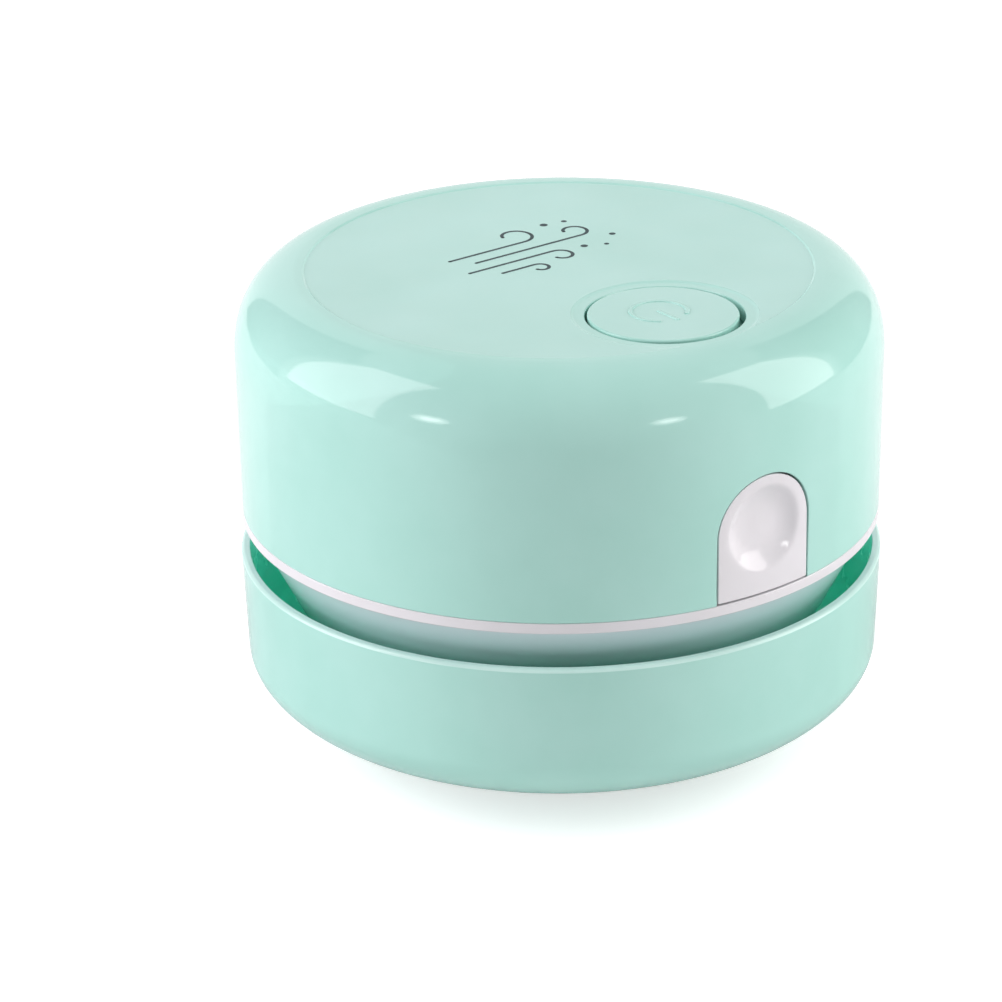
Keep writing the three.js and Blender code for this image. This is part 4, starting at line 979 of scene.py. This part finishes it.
# The leads are thin stranded wires in PVC, soldered to the cell, the motor and the board.
# PVC insulation: even colour with a dull shine and the slight ribbing of the strands under it.
red_pvc = moulded_plastic("pvc_insulation_red", ("#a92b27", "#b8332e"), (0.35, 0.5), 0.5, 0.02, 5)
black_pvc = moulded_plastic("pvc_insulation_black", ("#232325", "#2d2d30"), (0.35, 0.5), 0.5, 0.02, 5)
dress(red_pvc, "cell_lead_red", "motor_lead_red")
dress(black_pvc, "cell_lead_black", "motor_lead_black")

# The filter frame is a grey ABS ring with six spokes and a grip bar across its underside.
# Its three lugs twist into the collar's bayonet, and the net and the sponge lie in it.
FRAME_WALL = (23.0, 24.7)
FRAME_LEVELS = (24.0, 33.1)
FRAME_FLOOR = 25.4
HUB_RADIUS = 4
HUB_STEPS = 64
SPOKE_HALF = 1.0
GRIP = ((-16, -1.5, 21.9), (16, 1.5, 25.3))
LUG_REACH = 26.6
LUG_LEVELS = (30.7, 32.2)
LUG_ANGLE = 34

frame_ring = turned("frame_ring", four_corners(FRAME_WALL, FRAME_LEVELS, (0.4, 0.4, 0.3, 0.3)))
hub_profile = four_corners((0, HUB_RADIUS), (FRAME_LEVELS[0], FRAME_FLOOR), (0, 0.3, 0.3, 0))
hub = turned("hub", hub_profile, steps=HUB_STEPS)
spokes = []
for i in range(3):
    spoke = rounded_block(
        "spoke",
        (-FRAME_WALL[0] - 0.5, -SPOKE_HALF, FRAME_LEVELS[0] + 0.05),
        (FRAME_WALL[0] + 0.5, SPOKE_HALF, FRAME_FLOOR - 0.05),
        0.3,
    )
    spoke.data.transform(Matrix.Rotation(math.radians(60 * i), 4, "Z"))
    spokes.append(spoke)
lug_profile = four_corners((FRAME_WALL[0] + 0.5, LUG_REACH), LUG_LEVELS, (0, 0.3, 0.3, 0))
frame_lugs = arcs("frame_lug", lug_profile, BAYONET_WAYS, LUG_ANGLE)
grip = rounded_block("grip", *GRIP, 0.9, 5)
filter_ring = joined("filter_ring", frame_ring, hub, grip, *spokes, *frame_lugs)
settle(filter_ring, "filter", "grey_plastic", "filter_frame")
paint(filter_ring, grey_satin)

# The filter net is a woven nylon net that lies on the spokes and keeps the coarse dust back.
# Its threads pass over and under each other, about a millimetre apart.
NET_RADIUS = 22.7
NET_LEVEL = 25.6
THREAD_RADIUS = 0.1
THREAD_STEP = 1.0
WAVE = 0.1


def net_thread(shape, offset, across, phase):
    """Adds one thread of the net, along X or along Y, which waves over and under the others."""
    reach = math.sqrt(NET_RADIUS**2 - offset**2)
    count = max(4, round(2 * reach / THREAD_STEP * 4))
    rings = []
    for i in range(count + 1):
        along = -reach + 2 * reach * i / count
        height = NET_LEVEL + WAVE * math.cos(math.pi * (along / THREAD_STEP) + phase)
        ring = []
        for k in range(4):
            side = THREAD_RADIUS * math.cos(math.pi * (k / 2 + 0.25))
            up = THREAD_RADIUS * math.sin(math.pi * (k / 2 + 0.25))
            x, y = (offset + side, along) if across else (along, offset + side)
            ring.append(shape.verts.new((x, y, height + up)))
        rings.append(ring)
    skinned(shape, rings, (rings[0], rings[-1]))


threads = bmesh.new()
half_count = int(NET_RADIUS / THREAD_STEP)
for i in range(-half_count, half_count + 1):
    net_thread(threads, i * THREAD_STEP, True, math.pi * (i % 2))
    net_thread(threads, i * THREAD_STEP, False, math.pi * ((i + 1) % 2))
net = as_piece("net", threads)
settle(net, "filter", "nylon_bristle", "filter_net")
paint(net, nylon)

# The filter sponge is a disc of open-cell polyurethane foam that lies on the net.
# It is cut from a sheet, so its faces are open pores and its edge is slightly rounded.
SPONGE_LEVELS = (25.8, 32.4)
SPONGE_STEP = 0.7
SPONGE_TURN_STEPS = 160
PORE_SIZE = 1.1
PORE_DEPTH = 0.35

# Polyurethane foam: matt charcoal grey. Each pore, about a millimetre wide, is darkened to its middle as
# painted shade.
foam = new_material("polyurethane_foam_open_cell")
foam_place = add_node(foam, "TexCoord").outputs["Object"]
pores = add_node(foam, "TexVoronoi", {"Scale": 1 / (PORE_SIZE * MM)}, {"Vector": foam_place})
foam_grey_and_painted_pore_shade = add_node(foam, "ValToRGB", links={"Fac": pores.outputs["Distance"]})
set_shades(foam_grey_and_painted_pore_shade, ("#1c1e20", "#53585b"), (0.1, 0.6))
surfaced(
    foam,
    {"IOR": 1.45, "Roughness": 0.95, "Sheen Weight": 0.1},
    {"Base Color": foam_grey_and_painted_pore_shade.outputs["Color"]},
    pores.outputs["Distance"],
    0.4,
)

sponge_edge = four_corners((0, NET_RADIUS), SPONGE_LEVELS, (0, 0.7, 0.7, 0))
sponge_profile = []
for here, after in zip(sponge_edge, sponge_edge[1:]):
    count = max(1, round((after - here).length / SPONGE_STEP))
    sponge_profile += [here.lerp(after, i / count) for i in range(count)]
sponge_profile.append(sponge_edge[-1])
sponge = turned("sponge", sponge_profile, steps=SPONGE_TURN_STEPS)
for vertex in sponge.data.vertices:
    pit = max(0, noise.noise(vertex.co / PORE_SIZE)) * PORE_DEPTH
    vertex.co -= vertex.normal * pit
settle(sponge, "filter", "dark_sponge", "filter_sponge")
paint(sponge, foam)

# The tab's spring is wound from spring steel wire. It sits on the tab's peg and pushes the tab out
# against the motor plate's seat.
SPRING_ENDS = (-37.33, -29.93)
SPRING_RADIUS = 2.5
SPRING_LEVEL = 46.0
SPRING_TURNS = 6
WIRE_RADIUS = 0.3
WIRE_STEPS = 24
WIRE_SIDES = 10

coil = bmesh.new()
wire_rings = []
for i in range(SPRING_TURNS * WIRE_STEPS + 1):
    angle = 2 * math.pi * i / WIRE_STEPS
    outward = Vector((math.cos(angle), 0, math.sin(angle)))
    y = SPRING_ENDS[0] + (SPRING_ENDS[1] - SPRING_ENDS[0]) * i / (SPRING_TURNS * WIRE_STEPS)
    centre = outward * SPRING_RADIUS + Vector((0, y, SPRING_LEVEL))
    wire_ring = []
    for k in range(WIRE_SIDES):
        around = 2 * math.pi * k / WIRE_SIDES
        beside = centre + outward * WIRE_RADIUS * math.cos(around)
        wire_ring.append(coil.verts.new(beside + Vector((0, WIRE_RADIUS * math.sin(around), 0))))
    wire_rings.append(wire_ring)
skinned(coil, wire_rings, (wire_rings[0], wire_rings[-1]))
spring = as_piece("spring", coil)
settle(spring, "head", "motor_steel", "tab_spring")
paint(spring, ground_steel)
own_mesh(spring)

# The release tab is the white arched plate in the cover's front, moulded in ABS.
# Its face follows the cover's wall and has a round dish for a fingertip.
# Behind it are a flange inside the wall, a hook that reaches down to the bowl's lug and a peg.
TAB_HALF = 7.2
TAB_BOTTOM = 33.4
TAB_ARCH_LEVEL = 42.0
TAB_FLANGE_HALF = 9.0
TAB_FLANGE = (-38.88, -37.78)
DISH_LEVEL = 42.1
DISH_RADIUS = 5.6
DISH_DEPTH = 1.55
DISH_EDGE = 1.4
DISH_POWER = 3.3
TAB_FILLET = 0.07
FACE_BACK = -40
FACE_STEP = 0.2
ARCH_STEPS = 48
LEAST_CORNER = 40
SLIVER = 0.05
PEG = (1.6, 4.6)
HOOK_HALF = 3.5
# The hook's blocks: their lower and upper corners in Y and Z, and their fillets.
HOOK_BLOCKS = [
    ("hook_arm", (TAB_FLANGE[0], 35.2), (-33.8, 37.8), 0.2),
    ("hook_leg", (-35.2, 28.7), (-33.8, 37.7), 0.2),
    ("hook_nose", (-36.6, 28.75), (-33.9, 30.8), 0.25),
]


def arch(half_width, bottom):
    """The tab's outline in X and Z: straight sides with a round top."""
    points = [(-half_width, bottom), (half_width, bottom)]
    for i in range(ARCH_STEPS + 1):
        angle = math.pi * i / ARCH_STEPS
        points.append((half_width * math.cos(angle), TAB_ARCH_LEVEL + half_width * math.sin(angle)))
    return points


def dish_depth(distance):
    """How deep the finger dish is at a distance from its middle, with a soft edge."""
    sharp = DISH_DEPTH * (1 - (distance / DISH_RADIUS) ** DISH_POWER)
    return (sharp + math.sqrt(sharp**2 + (DISH_EDGE / 4) ** 2)) / 2


def tab_face(name, back):
    """A solid whose front is the tab's face: the cover's round wall with the dish sunk in it."""
    shape = bmesh.new()
    half, low, high = TAB_HALF + 1, TAB_BOTTOM - 1, TAB_ARCH_LEVEL + TAB_HALF + 1
    columns = round(2 * half / FACE_STEP)
    rows = round((high - low) / FACE_STEP)
    fronts, backs = [], []
    for i in range(columns + 1):
        x = -half + 2 * half * i / columns
        front_line, back_line = [], []
        for k in range(rows + 1):
            z = low + (high - low) * k / rows
            y = -math.sqrt(COVER_FOOT_RADIUS**2 - x * x) + dish_depth(math.hypot(x, z - DISH_LEVEL))
            front_line.append(shape.verts.new((x, y, z)))
            back_line.append(shape.verts.new((x, back, z)))
        fronts.append(front_line)
        backs.append(back_line)
    for sheet in (fronts, backs):
        for i in range(columns):
            for k in range(rows):
                shape.faces.new((sheet[i][k], sheet[i + 1][k], sheet[i + 1][k + 1], sheet[i][k + 1]))
    rim = [(i, 0) for i in range(columns)] + [(columns, k) for k in range(rows)]
    rim += [(i, rows) for i in range(columns, 0, -1)] + [(0, k) for k in range(rows, 0, -1)]
    for (i, k), (m, n) in zip(rim, rim[1:] + rim[:1]):
        shape.faces.new((fronts[i][k], fronts[m][n], backs[m][n], backs[i][k]))
    return as_piece(name, shape)


def soften(piece, width, chosen):
    """Rounds off those sharp edges of a piece whose middles are chosen, once slivers there are gone."""
    shape = bmesh.new()
    shape.from_mesh(piece.data)

    def sharp_edges():
        return [
            edge
            for edge in shape.edges
            if len(edge.link_faces) == 2
            and edge.calc_face_angle() > math.radians(LEAST_CORNER)
            and chosen((edge.verts[0].co + edge.verts[1].co) / 2)
        ]

    corners = dict.fromkeys(corner for edge in sharp_edges() for corner in edge.verts)
    bmesh.ops.remove_doubles(shape, verts=list(corners), dist=SLIVER)
    bmesh.ops.bevel(shape, geom=sharp_edges(), offset=width, segments=3, profile=0.5, affect="EDGES")
    shape.to_mesh(piece.data)
    shape.free()


tab_plate = drawn_out("tab_plate", arch(TAB_HALF, TAB_BOTTOM), -BODY_RADIUS - 1, TAB_FLANGE[1])
combine(tab_plate, "INTERSECT", tab_face("face", TAB_FLANGE[1] + 1))
soften(tab_plate, TAB_FILLET, lambda middle: middle.y < FACE_BACK)
tab_flange = drawn_out("tab_flange", arch(TAB_FLANGE_HALF, TAB_BOTTOM), *TAB_FLANGE)
hook = [
    rounded_block(name, (-HOOK_HALF, *low), (HOOK_HALF, *high), fillet)
    for name, low, high, fillet in HOOK_BLOCKS
]
peg_profile = four_corners((0, PEG[0]), (0, PEG[1]), (0, 0, 0.4, 0))
peg = laid_down(turned("peg", peg_profile, steps=LENS_STEPS), (0, TAB_FLANGE[0], SPRING_LEVEL))
tab = joined("tab", tab_plate, tab_flange, *hook, peg)
settle(tab, "release_tab", "white_plastic", "release_tab")
paint(tab, white_polished)

# The power button is a round mint cap that stands in the roof's hole, level with the disc.
# A flange under it keeps it in. The power sign is raised on it by a tenth of a millimetre, and
# the play in its guide lets it rest a little to one side.
BUTTON_Y = -22.0
BUTTON_RADIUS = 9.66
BUTTON_TOP = 64.85
BUTTON_FLANGE = (10.9, 61.2, 62.4)
BUTTON_STEPS = 192
SIGN_STEPS = 80
SIGN_RADIUS = 3.62
SIGN_HALF = 0.29
SIGN_HEIGHT = 0.13
SIGN_SHIFT = 0.85
SIGN_OPENING = 70
SIGN_BAR = (-3.9, 0.2)
BUTTON_PLAY = (-0.19, 0.14)

# The same mint ABS from a spark-eroded mould: a dense fine grain, a fifth of a millimetre across,
# that breaks every reflection up and makes the colour look paler.
mint_textured = moulded_plastic("mint_abs_spark_eroded", ("#b1dad1", "#b6ded6"), (0.42, 0.52), 0.2, 0.012)

cap = turned(
    "cap",
    filleted([
        (0, BUTTON_FLANGE[1]),
        (BUTTON_FLANGE[0], BUTTON_FLANGE[1], 0.2),
        (BUTTON_FLANGE[0], BUTTON_FLANGE[2], 0.2),
        (BUTTON_RADIUS, BUTTON_FLANGE[2]),
        (BUTTON_RADIUS, BUTTON_TOP, 0.28),
        (0, BUTTON_TOP),
    ]),
    (0, BUTTON_Y),
    BUTTON_STEPS,
)
sign_section = four_corners(
    (SIGN_RADIUS - SIGN_HALF, SIGN_RADIUS + SIGN_HALF),
    (BUTTON_TOP - 0.1, BUTTON_TOP + SIGN_HEIGHT),
    (0, 0, 0.12, 0.12),
)
sign_arc = turned(
    "sign_arc",
    sign_section,
    (0, BUTTON_Y + SIGN_SHIFT),
    SIGN_STEPS,
    SIGN_OPENING / 2 - 90,
    360 - SIGN_OPENING,
)
sign_bar = rounded_block(
    "sign_bar",
    (-SIGN_HALF, BUTTON_Y + SIGN_SHIFT + SIGN_BAR[0], BUTTON_TOP - 0.2),
    (SIGN_HALF, BUTTON_Y + SIGN_SHIFT + SIGN_BAR[1], BUTTON_TOP + SIGN_HEIGHT),
    0.12,
)
button = joined("button", cap, sign_arc, sign_bar)
button.data.transform(Matrix.Translation((*BUTTON_PLAY, 0)))
settle(button, "power_button", "mint_plastic", "power_button")


def on_button_top(centre, normal):
    """True for the flat top of the button, inside its polished edge."""
    return abs(centre.z - BUTTON_TOP) < 0.02


paint(button, mint_polished, (mint_textured, on_button_top))

# The top cover is the head's mint shell, moulded in ABS: a spark-eroded disc, sunk by a fine step
# inside a polished shoulder and wall. The button's hole stands in a shallow dish, an arch in the
# wall takes the tab, and the back has the charging slot and the lamp's hole.
DISC_RADIUS = 33.3
DISC_LEVEL = 64.85
STEP_WIDTH = 0.24
TOP = 65.0
SHOULDER_FOOT = 54.4
SHOULDER_POWER = 2.23
SHOULDER_STEPS = 36
INSIDE_STEPS = 12
ROOF_UNDERSIDE = 62.7
COVER_WALL = 2
HOLE_RADIUS = 10.22
DISH_RING = 12.0
DISH_SINK = 0.2
DISH_RING_POWER = 7
DISH_STEPS = 8
ARCH_GAP = 0.24
SLOT_HALF = 4.8
SLOT_LEVELS = (51.4, 55.3)
LAMP_HOLE = 1.3
CUT_START = 37
CUT_FILLET = 0.15
GUIDE = (11.3, 12.5)
GUIDE_BOTTOM = 58.7
GUIDE_STEPS = 96
POST_RADIUS = 3
POST_LEVELS = (42.3, 59)
POST_STEPS = 32
BOARD_POST_RADIUS = 2.4
BOARD_TOP = 56.2
BOARD_POSTS = [(side * 9.5, y) for side in (1, -1) for y in (-9.5, 28)]
# What the button's guide is cut to, inside the shoulder.
UNDER_SHOULDER = [(0, 50), (39.2, 50), (39.2, 57), (35, 63), (0, 63)]
shoulder_underside = quarter_bend(
    (BODY_RADIUS - COVER_WALL, SHOULDER_FOOT), (DISC_RADIUS, ROOF_UNDERSIDE), SHOULDER_POWER, INSIDE_STEPS
)

cover_profile = filleted(
    [(COVER_FOOT_RADIUS, PARTING, 0.2)]
    + wall_points((COVER_FOOT_RADIUS, PARTING), (BODY_RADIUS, SHOULDER_FOOT), 10)
    + quarter_bend((BODY_RADIUS, SHOULDER_FOOT), (DISC_RADIUS, TOP), SHOULDER_POWER, SHOULDER_STEPS)[:-1]
    + [
        (DISC_RADIUS, TOP, 0.08),
        (DISC_RADIUS - STEP_WIDTH, DISC_LEVEL),
        *wall_points((DISC_RADIUS - STEP_WIDTH, DISC_LEVEL), (0, DISC_LEVEL), 8),
        (0, DISC_LEVEL),
        (0, ROOF_UNDERSIDE),
    ]
    + shoulder_underside[::-1]
    + [(COVER_FOOT_RADIUS - COVER_WALL, PARTING)]
)
cover = turned("cover", cover_profile)
dish_floor = DISC_LEVEL - DISH_SINK
dish_profile = [(0, dish_floor), (HOLE_RADIUS, dish_floor)]
for i in range(1, DISH_STEPS + 1):
    share = i / DISH_STEPS
    dish_profile.append((
        HOLE_RADIUS + (DISH_RING - HOLE_RADIUS) * share,
        DISC_LEVEL - DISH_SINK * (1 - share**DISH_RING_POWER),
    ))
dish_profile += [(DISH_RING + 0.15, DISC_LEVEL + 0.5), (0, DISC_LEVEL + 0.5)]
dish = turned("dish", dish_profile, (0, BUTTON_Y), BUTTON_STEPS)
# The hole's edge is rounded off where it meets the dish.
hole_profile = [
    (0, ROOF_UNDERSIDE - 1),
    (HOLE_RADIUS, ROOF_UNDERSIDE - 1),
    (HOLE_RADIUS, dish_floor - 0.12),
    (HOLE_RADIUS + 0.04, dish_floor - 0.06),
    (HOLE_RADIUS + 0.12, dish_floor + 0.01),
    (0, dish_floor + 0.01),
]
hole = turned("hole", hole_profile, (0, BUTTON_Y), BUTTON_STEPS)
arch_cut = drawn_out("arch_cut", arch(TAB_HALF + ARCH_GAP, PARTING - 1), -BODY_RADIUS - 1, -BODY_RADIUS / 2)
slot_cut = drawn_out("slot_cut", rounded_rectangle(SLOT_HALF, SLOT_LEVELS, 1.5), CUT_START, BODY_RADIUS + 1)
lamp_cut = turned("lamp_cut", four_corners((0, LAMP_HOLE), (0, 8)), steps=48)
lamp_cut = laid_down(lamp_cut, (LAMP_X, CUT_START, LAMP_LEVEL))
combine(cover, "DIFFERENCE", dish, hole, arch_cut, slot_cut, lamp_cut)


def on_wall_cut(middle):
    """True for an edge where the wall's outside is cut: round the arch, the slot and the lamp."""
    outside = math.hypot(middle.x, middle.y) > COVER_FOOT_RADIUS - 0.5
    at_arch = middle.y < 0 and abs(middle.x) < TAB_HALF + 1 and middle.z > PARTING + 0.4
    slot_level = SLOT_LEVELS[0] - 1 < middle.z < SLOT_LEVELS[1] + 1
    at_back = middle.y > 0 and abs(middle.x) < LAMP_X + 2 and slot_level
    return outside and (at_arch or at_back)


soften(cover, CUT_FILLET, on_wall_cut)
guide_profile = four_corners(GUIDE, (GUIDE_BOTTOM, ROOF_UNDERSIDE - 0.05))
guide = turned("guide", guide_profile, (0, BUTTON_Y), GUIDE_STEPS)
combine(guide, "INTERSECT", turned("within", UNDER_SHOULDER, steps=GUIDE_STEPS))
posts = turned_at(head_screw_places, "post", four_corners((0, POST_RADIUS), POST_LEVELS), POST_STEPS)
board_post_profile = four_corners((0, BOARD_POST_RADIUS), (BOARD_TOP, ROOF_UNDERSIDE))
posts += turned_at(BOARD_POSTS, "board_post", board_post_profile, POST_STEPS)
shell = joined("shell", cover, guide, *posts)
settle(shell, "head", "mint_plastic", "top_cover")


def on_disc(centre, normal):
    """True for the flat disc on top, outside the button's dish."""
    return abs(centre.z - DISC_LEVEL) < 0.02 and normal.z > 0.9


paint(shell, mint_polished, (mint_textured, on_disc))

# The print on the disc is pad-printed in dark grey ink: breeze lines that end in curls, with a few
# dust dots beside them. The ink lies on the plastic as a film of about a hundredth of a millimetre.
INK_FILM = 0.012
PRINT_LEVEL = DISC_LEVEL + INK_FILM
PRINT_WIDTH = 0.48
PRINT_MIDDLE = (1.0, 6.5)
BREEZES = [
    {"start": (-11.0, 3.8), "length": 12.5, "curl": 2.5, "up": 1},
    {"start": (-8.6, 1.2), "length": 17.5, "curl": 2.0, "up": 1},
    {"start": (-11.6, -1.4), "length": 13.6, "curl": 1.8, "up": -1},
    {"start": (-8.2, -4.0), "length": 5.2, "curl": 1.3, "up": -1},
]
DUST_DOTS = [(7.2, 7.4, 0.55), (10.2, 6.9, 0.4), (12.2, -1.0, 0.45), (6.4, -2.4, 0.5), (9.2, -3.6, 0.35)]
LINE_STEPS = 12
CURL_TURN = 250
CURL_STEPS = 32
CURL_CLOSE = 0.35
DOT_SIDES = 24


def ribbon(shape, points, width):
    """Adds a flat line of ink with round ends along the points."""
    left, right = [], []
    for i, point in enumerate(points):
        before, after = points[max(0, i - 1)], points[min(len(points) - 1, i + 1)]
        along = (after - before).normalized()
        side = Vector((-along.y, along.x)) * width / 2
        left.append(shape.verts.new((*(point + side), PRINT_LEVEL)))
        right.append(shape.verts.new((*(point - side), PRINT_LEVEL)))
    for i in range(len(points) - 1):
        shape.faces.new((right[i], right[i + 1], left[i + 1], left[i]))
    for end in (points[0], points[-1]):
        dot(shape, end, width / 2)


def dot(shape, centre, radius):
    """Adds a flat round dot of ink."""
    corners = []
    for k in range(DOT_SIDES):
        angle = 2 * math.pi * k / DOT_SIDES
        x, y = centre[0] + radius * math.cos(angle), centre[1] + radius * math.sin(angle)
        corners.append(shape.verts.new((x, y, PRINT_LEVEL)))
    shape.faces.new(corners)


# Pad-print ink: thin, matt and dark grey with a green cast, slightly uneven where the pad lifted.
ink = moulded_plastic("pad_print_ink", ("#1f3336", "#2a3e41"), (0.5, 0.65), 0.3, 0.004, 4)

print_shape = bmesh.new()
for breeze in BREEZES:
    start = Vector(PRINT_MIDDLE) + Vector(breeze["start"])
    points = [start + Vector((breeze["length"] * i / LINE_STEPS, 0)) for i in range(LINE_STEPS + 1)]
    centre = points[-1] + Vector((0, breeze["up"] * breeze["curl"]))
    for i in range(1, CURL_STEPS + 1):
        angle = math.radians(CURL_TURN * i / CURL_STEPS - 90)
        shrink = breeze["curl"] * (1 - CURL_CLOSE * i / CURL_STEPS)
        from_centre = Vector((math.cos(angle) * shrink, breeze["up"] * math.sin(angle) * shrink))
        points.append(centre + from_centre)
    ribbon(print_shape, points, PRINT_WIDTH)
for x, y, radius in DUST_DOTS:
    dot(print_shape, (PRINT_MIDDLE[0] + x, PRINT_MIDDLE[1] + y), radius)
for face in print_shape.faces:
    if face.normal.z < 0:
        face.normal_flip()
print_mesh = bpy.data.meshes.new("breeze_print")
print_shape.to_mesh(print_mesh)
print_shape.free()
print_mesh.transform(Matrix.Scale(MM, 4))
breeze_print = bpy.data.objects.new("breeze_print", print_mesh)
bpy.context.scene.collection.objects.link(breeze_print)
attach(breeze_print, "head")
paint(breeze_print, ink)

# The floor is a round sheet of white matt board. It bounces light up under the skirt and keeps the
# cleaner's shadow. The camera sees it nearly as white as the backdrop, and sees through it from below.
FLOOR_RADIUS = 760
FLOOR_LIFT = 0.48
# Matt painted board: even white, with a faint mottle from the roller.
floor_paint = new_material("board_matt_white_paint")
floor_tint = mottled(floor_paint, 30, ("#f4f4f4", "#f7f7f7"))
board_diffuse = add_node(floor_paint, "BsdfDiffuse", {"Roughness": 0.5}, {"Color": floor_tint})
from_camera = add_node(floor_paint, "LightPath").outputs["Is Camera Ray"]
lift = add_node(floor_paint, "MapRange", {"To Min": 0.0, "To Max": FLOOR_LIFT}, {"Value": from_camera})
board_lift = add_node(floor_paint, "Emission", links={"Strength": lift.outputs["Result"]})
board = add_node(
    floor_paint, "AddShader", links={0: board_diffuse.outputs["BSDF"], 1: board_lift.outputs["Emission"]}
)
under_board = add_node(
    floor_paint,
    "MixShader",
    links={
        "Fac": add_node(floor_paint, "NewGeometry").outputs["Backfacing"],
        1: board.outputs["Shader"],
        2: add_node(floor_paint, "BsdfTransparent").outputs["BSDF"],
    },
)
add_node(floor_paint, "OutputMaterial", links={"Surface": under_board.outputs["Shader"]})

floor_shape = bmesh.new()
bmesh.ops.create_circle(floor_shape, cap_ends=True, segments=128, radius=FLOOR_RADIUS)
studio_floor = as_piece("studio_floor", floor_shape)
studio_floor.data.transform(Matrix.Scale(MM, 4))
paint(studio_floor, floor_paint)

# The light is that of a white tent, with two softboxes that leave their shapes on the shoulder, and
# a fill lamp in the place of each that leaves none. Two small lamps beside the camera, each inside a
# dimmer rim, make the glints in front, and two grey boards behind show only in reflections.
WORLD_LEVEL = 0.28
LAMP_DISTANCE = 0.8
LEFT_BOX = (-109, (-0.68, 0.13), (0.1, 1.65))
RIGHT_BOX = (25, (0.19, 0.97), (0.05, 1.6))
WHITE = (1.0, 1.0, 1.0)
# Each lamp: the way it stands, its sides and heights over its distance, its radiance and its tint.
LAMPS = [
    ("softbox_left", *LEFT_BOX, 2.5, (1.06, 0.985, 1.03)),
    ("softbox_right", *RIGHT_BOX, 2.5, (1.06, 1.0, 1.0)),
    ("fill_left", *LEFT_BOX, 3.1, (1.06, 0.98, 1.02)),
    ("fill_right", *RIGHT_BOX, 3.5, (1.06, 0.995, 0.995)),
    ("small_lamp_left", -83, (-0.05, 0.09), (0.29, 0.36), 7, WHITE),
    ("small_lamp_left_rim", -83, (-0.1, 0.14), (0.25, 0.4), 3, WHITE),
    ("small_lamp_right", 0.5, (-0.08, 0.04), (0.3, 0.36), 6, WHITE),
    ("small_lamp_right_rim", 0.5, (-0.13, 0.09), (0.26, 0.4), 3, WHITE),
]
FLAG_DISTANCE = 0.9
FLAGS = [
    ("flag_left", -168, (-0.34, 0.36), (0.0, 1.3)),
    ("flag_right", 93, (-0.36, 0.36), (0.0, 1.3)),
]

world = bpy.data.worlds.new("white_tent")
bpy.context.scene.world = world
world.use_nodes = True
world.node_tree.nodes.clear()
rays = add_node(world, "LightPath").outputs
seen = rays["Is Camera Ray"]
for way_seen in ("Is Glossy Ray", "Is Transmission Ray"):
    seen = add_node(world, "Math", links={0: seen, 1: rays[way_seen]}, operation="MAXIMUM").outputs[0]
level = add_node(world, "MapRange", {"To Min": WORLD_LEVEL, "To Max": 1.0}, {"Value": seen})
sky = add_node(world, "Background", {"Color": (1, 1, 1, 1)}, {"Strength": level.outputs["Result"]})
add_node(world, "OutputWorld", links={"Surface": sky.outputs["Background"]})


def stood(facing, sides, heights, distance):
    """The width, height and place of an upright sheet that faces the cleaner."""
    way = math.radians(facing)
    out = Vector((math.sin(way), -math.cos(way), 0))
    along = Vector((math.cos(way), math.sin(way), 0))
    middle = out + along * (sides[0] + sides[1]) / 2 + Vector((0, 0, (heights[0] + heights[1]) / 2))
    place = Matrix.Translation(middle * distance) @ out.to_track_quat("Z", "Y").to_matrix().to_4x4()
    return (sides[1] - sides[0]) * distance, (heights[1] - heights[0]) * distance, place


for name, facing, sides, heights, radiance, tint in LAMPS:
    light = bpy.data.lights.new(name, "AREA")
    light.shape = "ELLIPSE" if "small" in name else "RECTANGLE"
    light.size, light.size_y, place = stood(facing, sides, heights, LAMP_DISTANCE)
    light.color = tint
    light.energy = radiance * math.pi * light.size * light.size_y
    lamp_object = bpy.data.objects.new(name, light)
    lamp_object.matrix_world = place
    lamp_object.visible_camera = False
    lamp_object.visible_glossy = "fill" not in name
    bpy.context.scene.collection.objects.link(lamp_object)

# Painted board: plain grey and matt, so that the shoulder's sides look a little deeper.
flag_paint = new_material("board_matt_grey_paint")
flag_tint = mottled(flag_paint, 60, ("#9a9c9c", "#a0a2a2"))
flag_diffuse = add_node(flag_paint, "BsdfDiffuse", {"Roughness": 0.5}, {"Color": flag_tint})
add_node(flag_paint, "OutputMaterial", links={"Surface": flag_diffuse.outputs["BSDF"]})
for name, facing, sides, heights in FLAGS:
    width, height, place = stood(facing, sides, heights, FLAG_DISTANCE)
    sheet = bmesh.new()
    bmesh.ops.create_grid(sheet, x_segments=2, y_segments=2, size=0.5)
    bmesh.ops.transform(sheet, matrix=place @ Matrix.Diagonal((width, height, 1, 1)), verts=sheet.verts)
    flag = as_piece(name, sheet)
    paint(flag, flag_paint)
    flag.visible_camera = False
    flag.visible_diffuse = False
    flag.visible_shadow = False
    flag.visible_transmission = False

bpy.context.scene.view_settings.view_transform = "Standard"
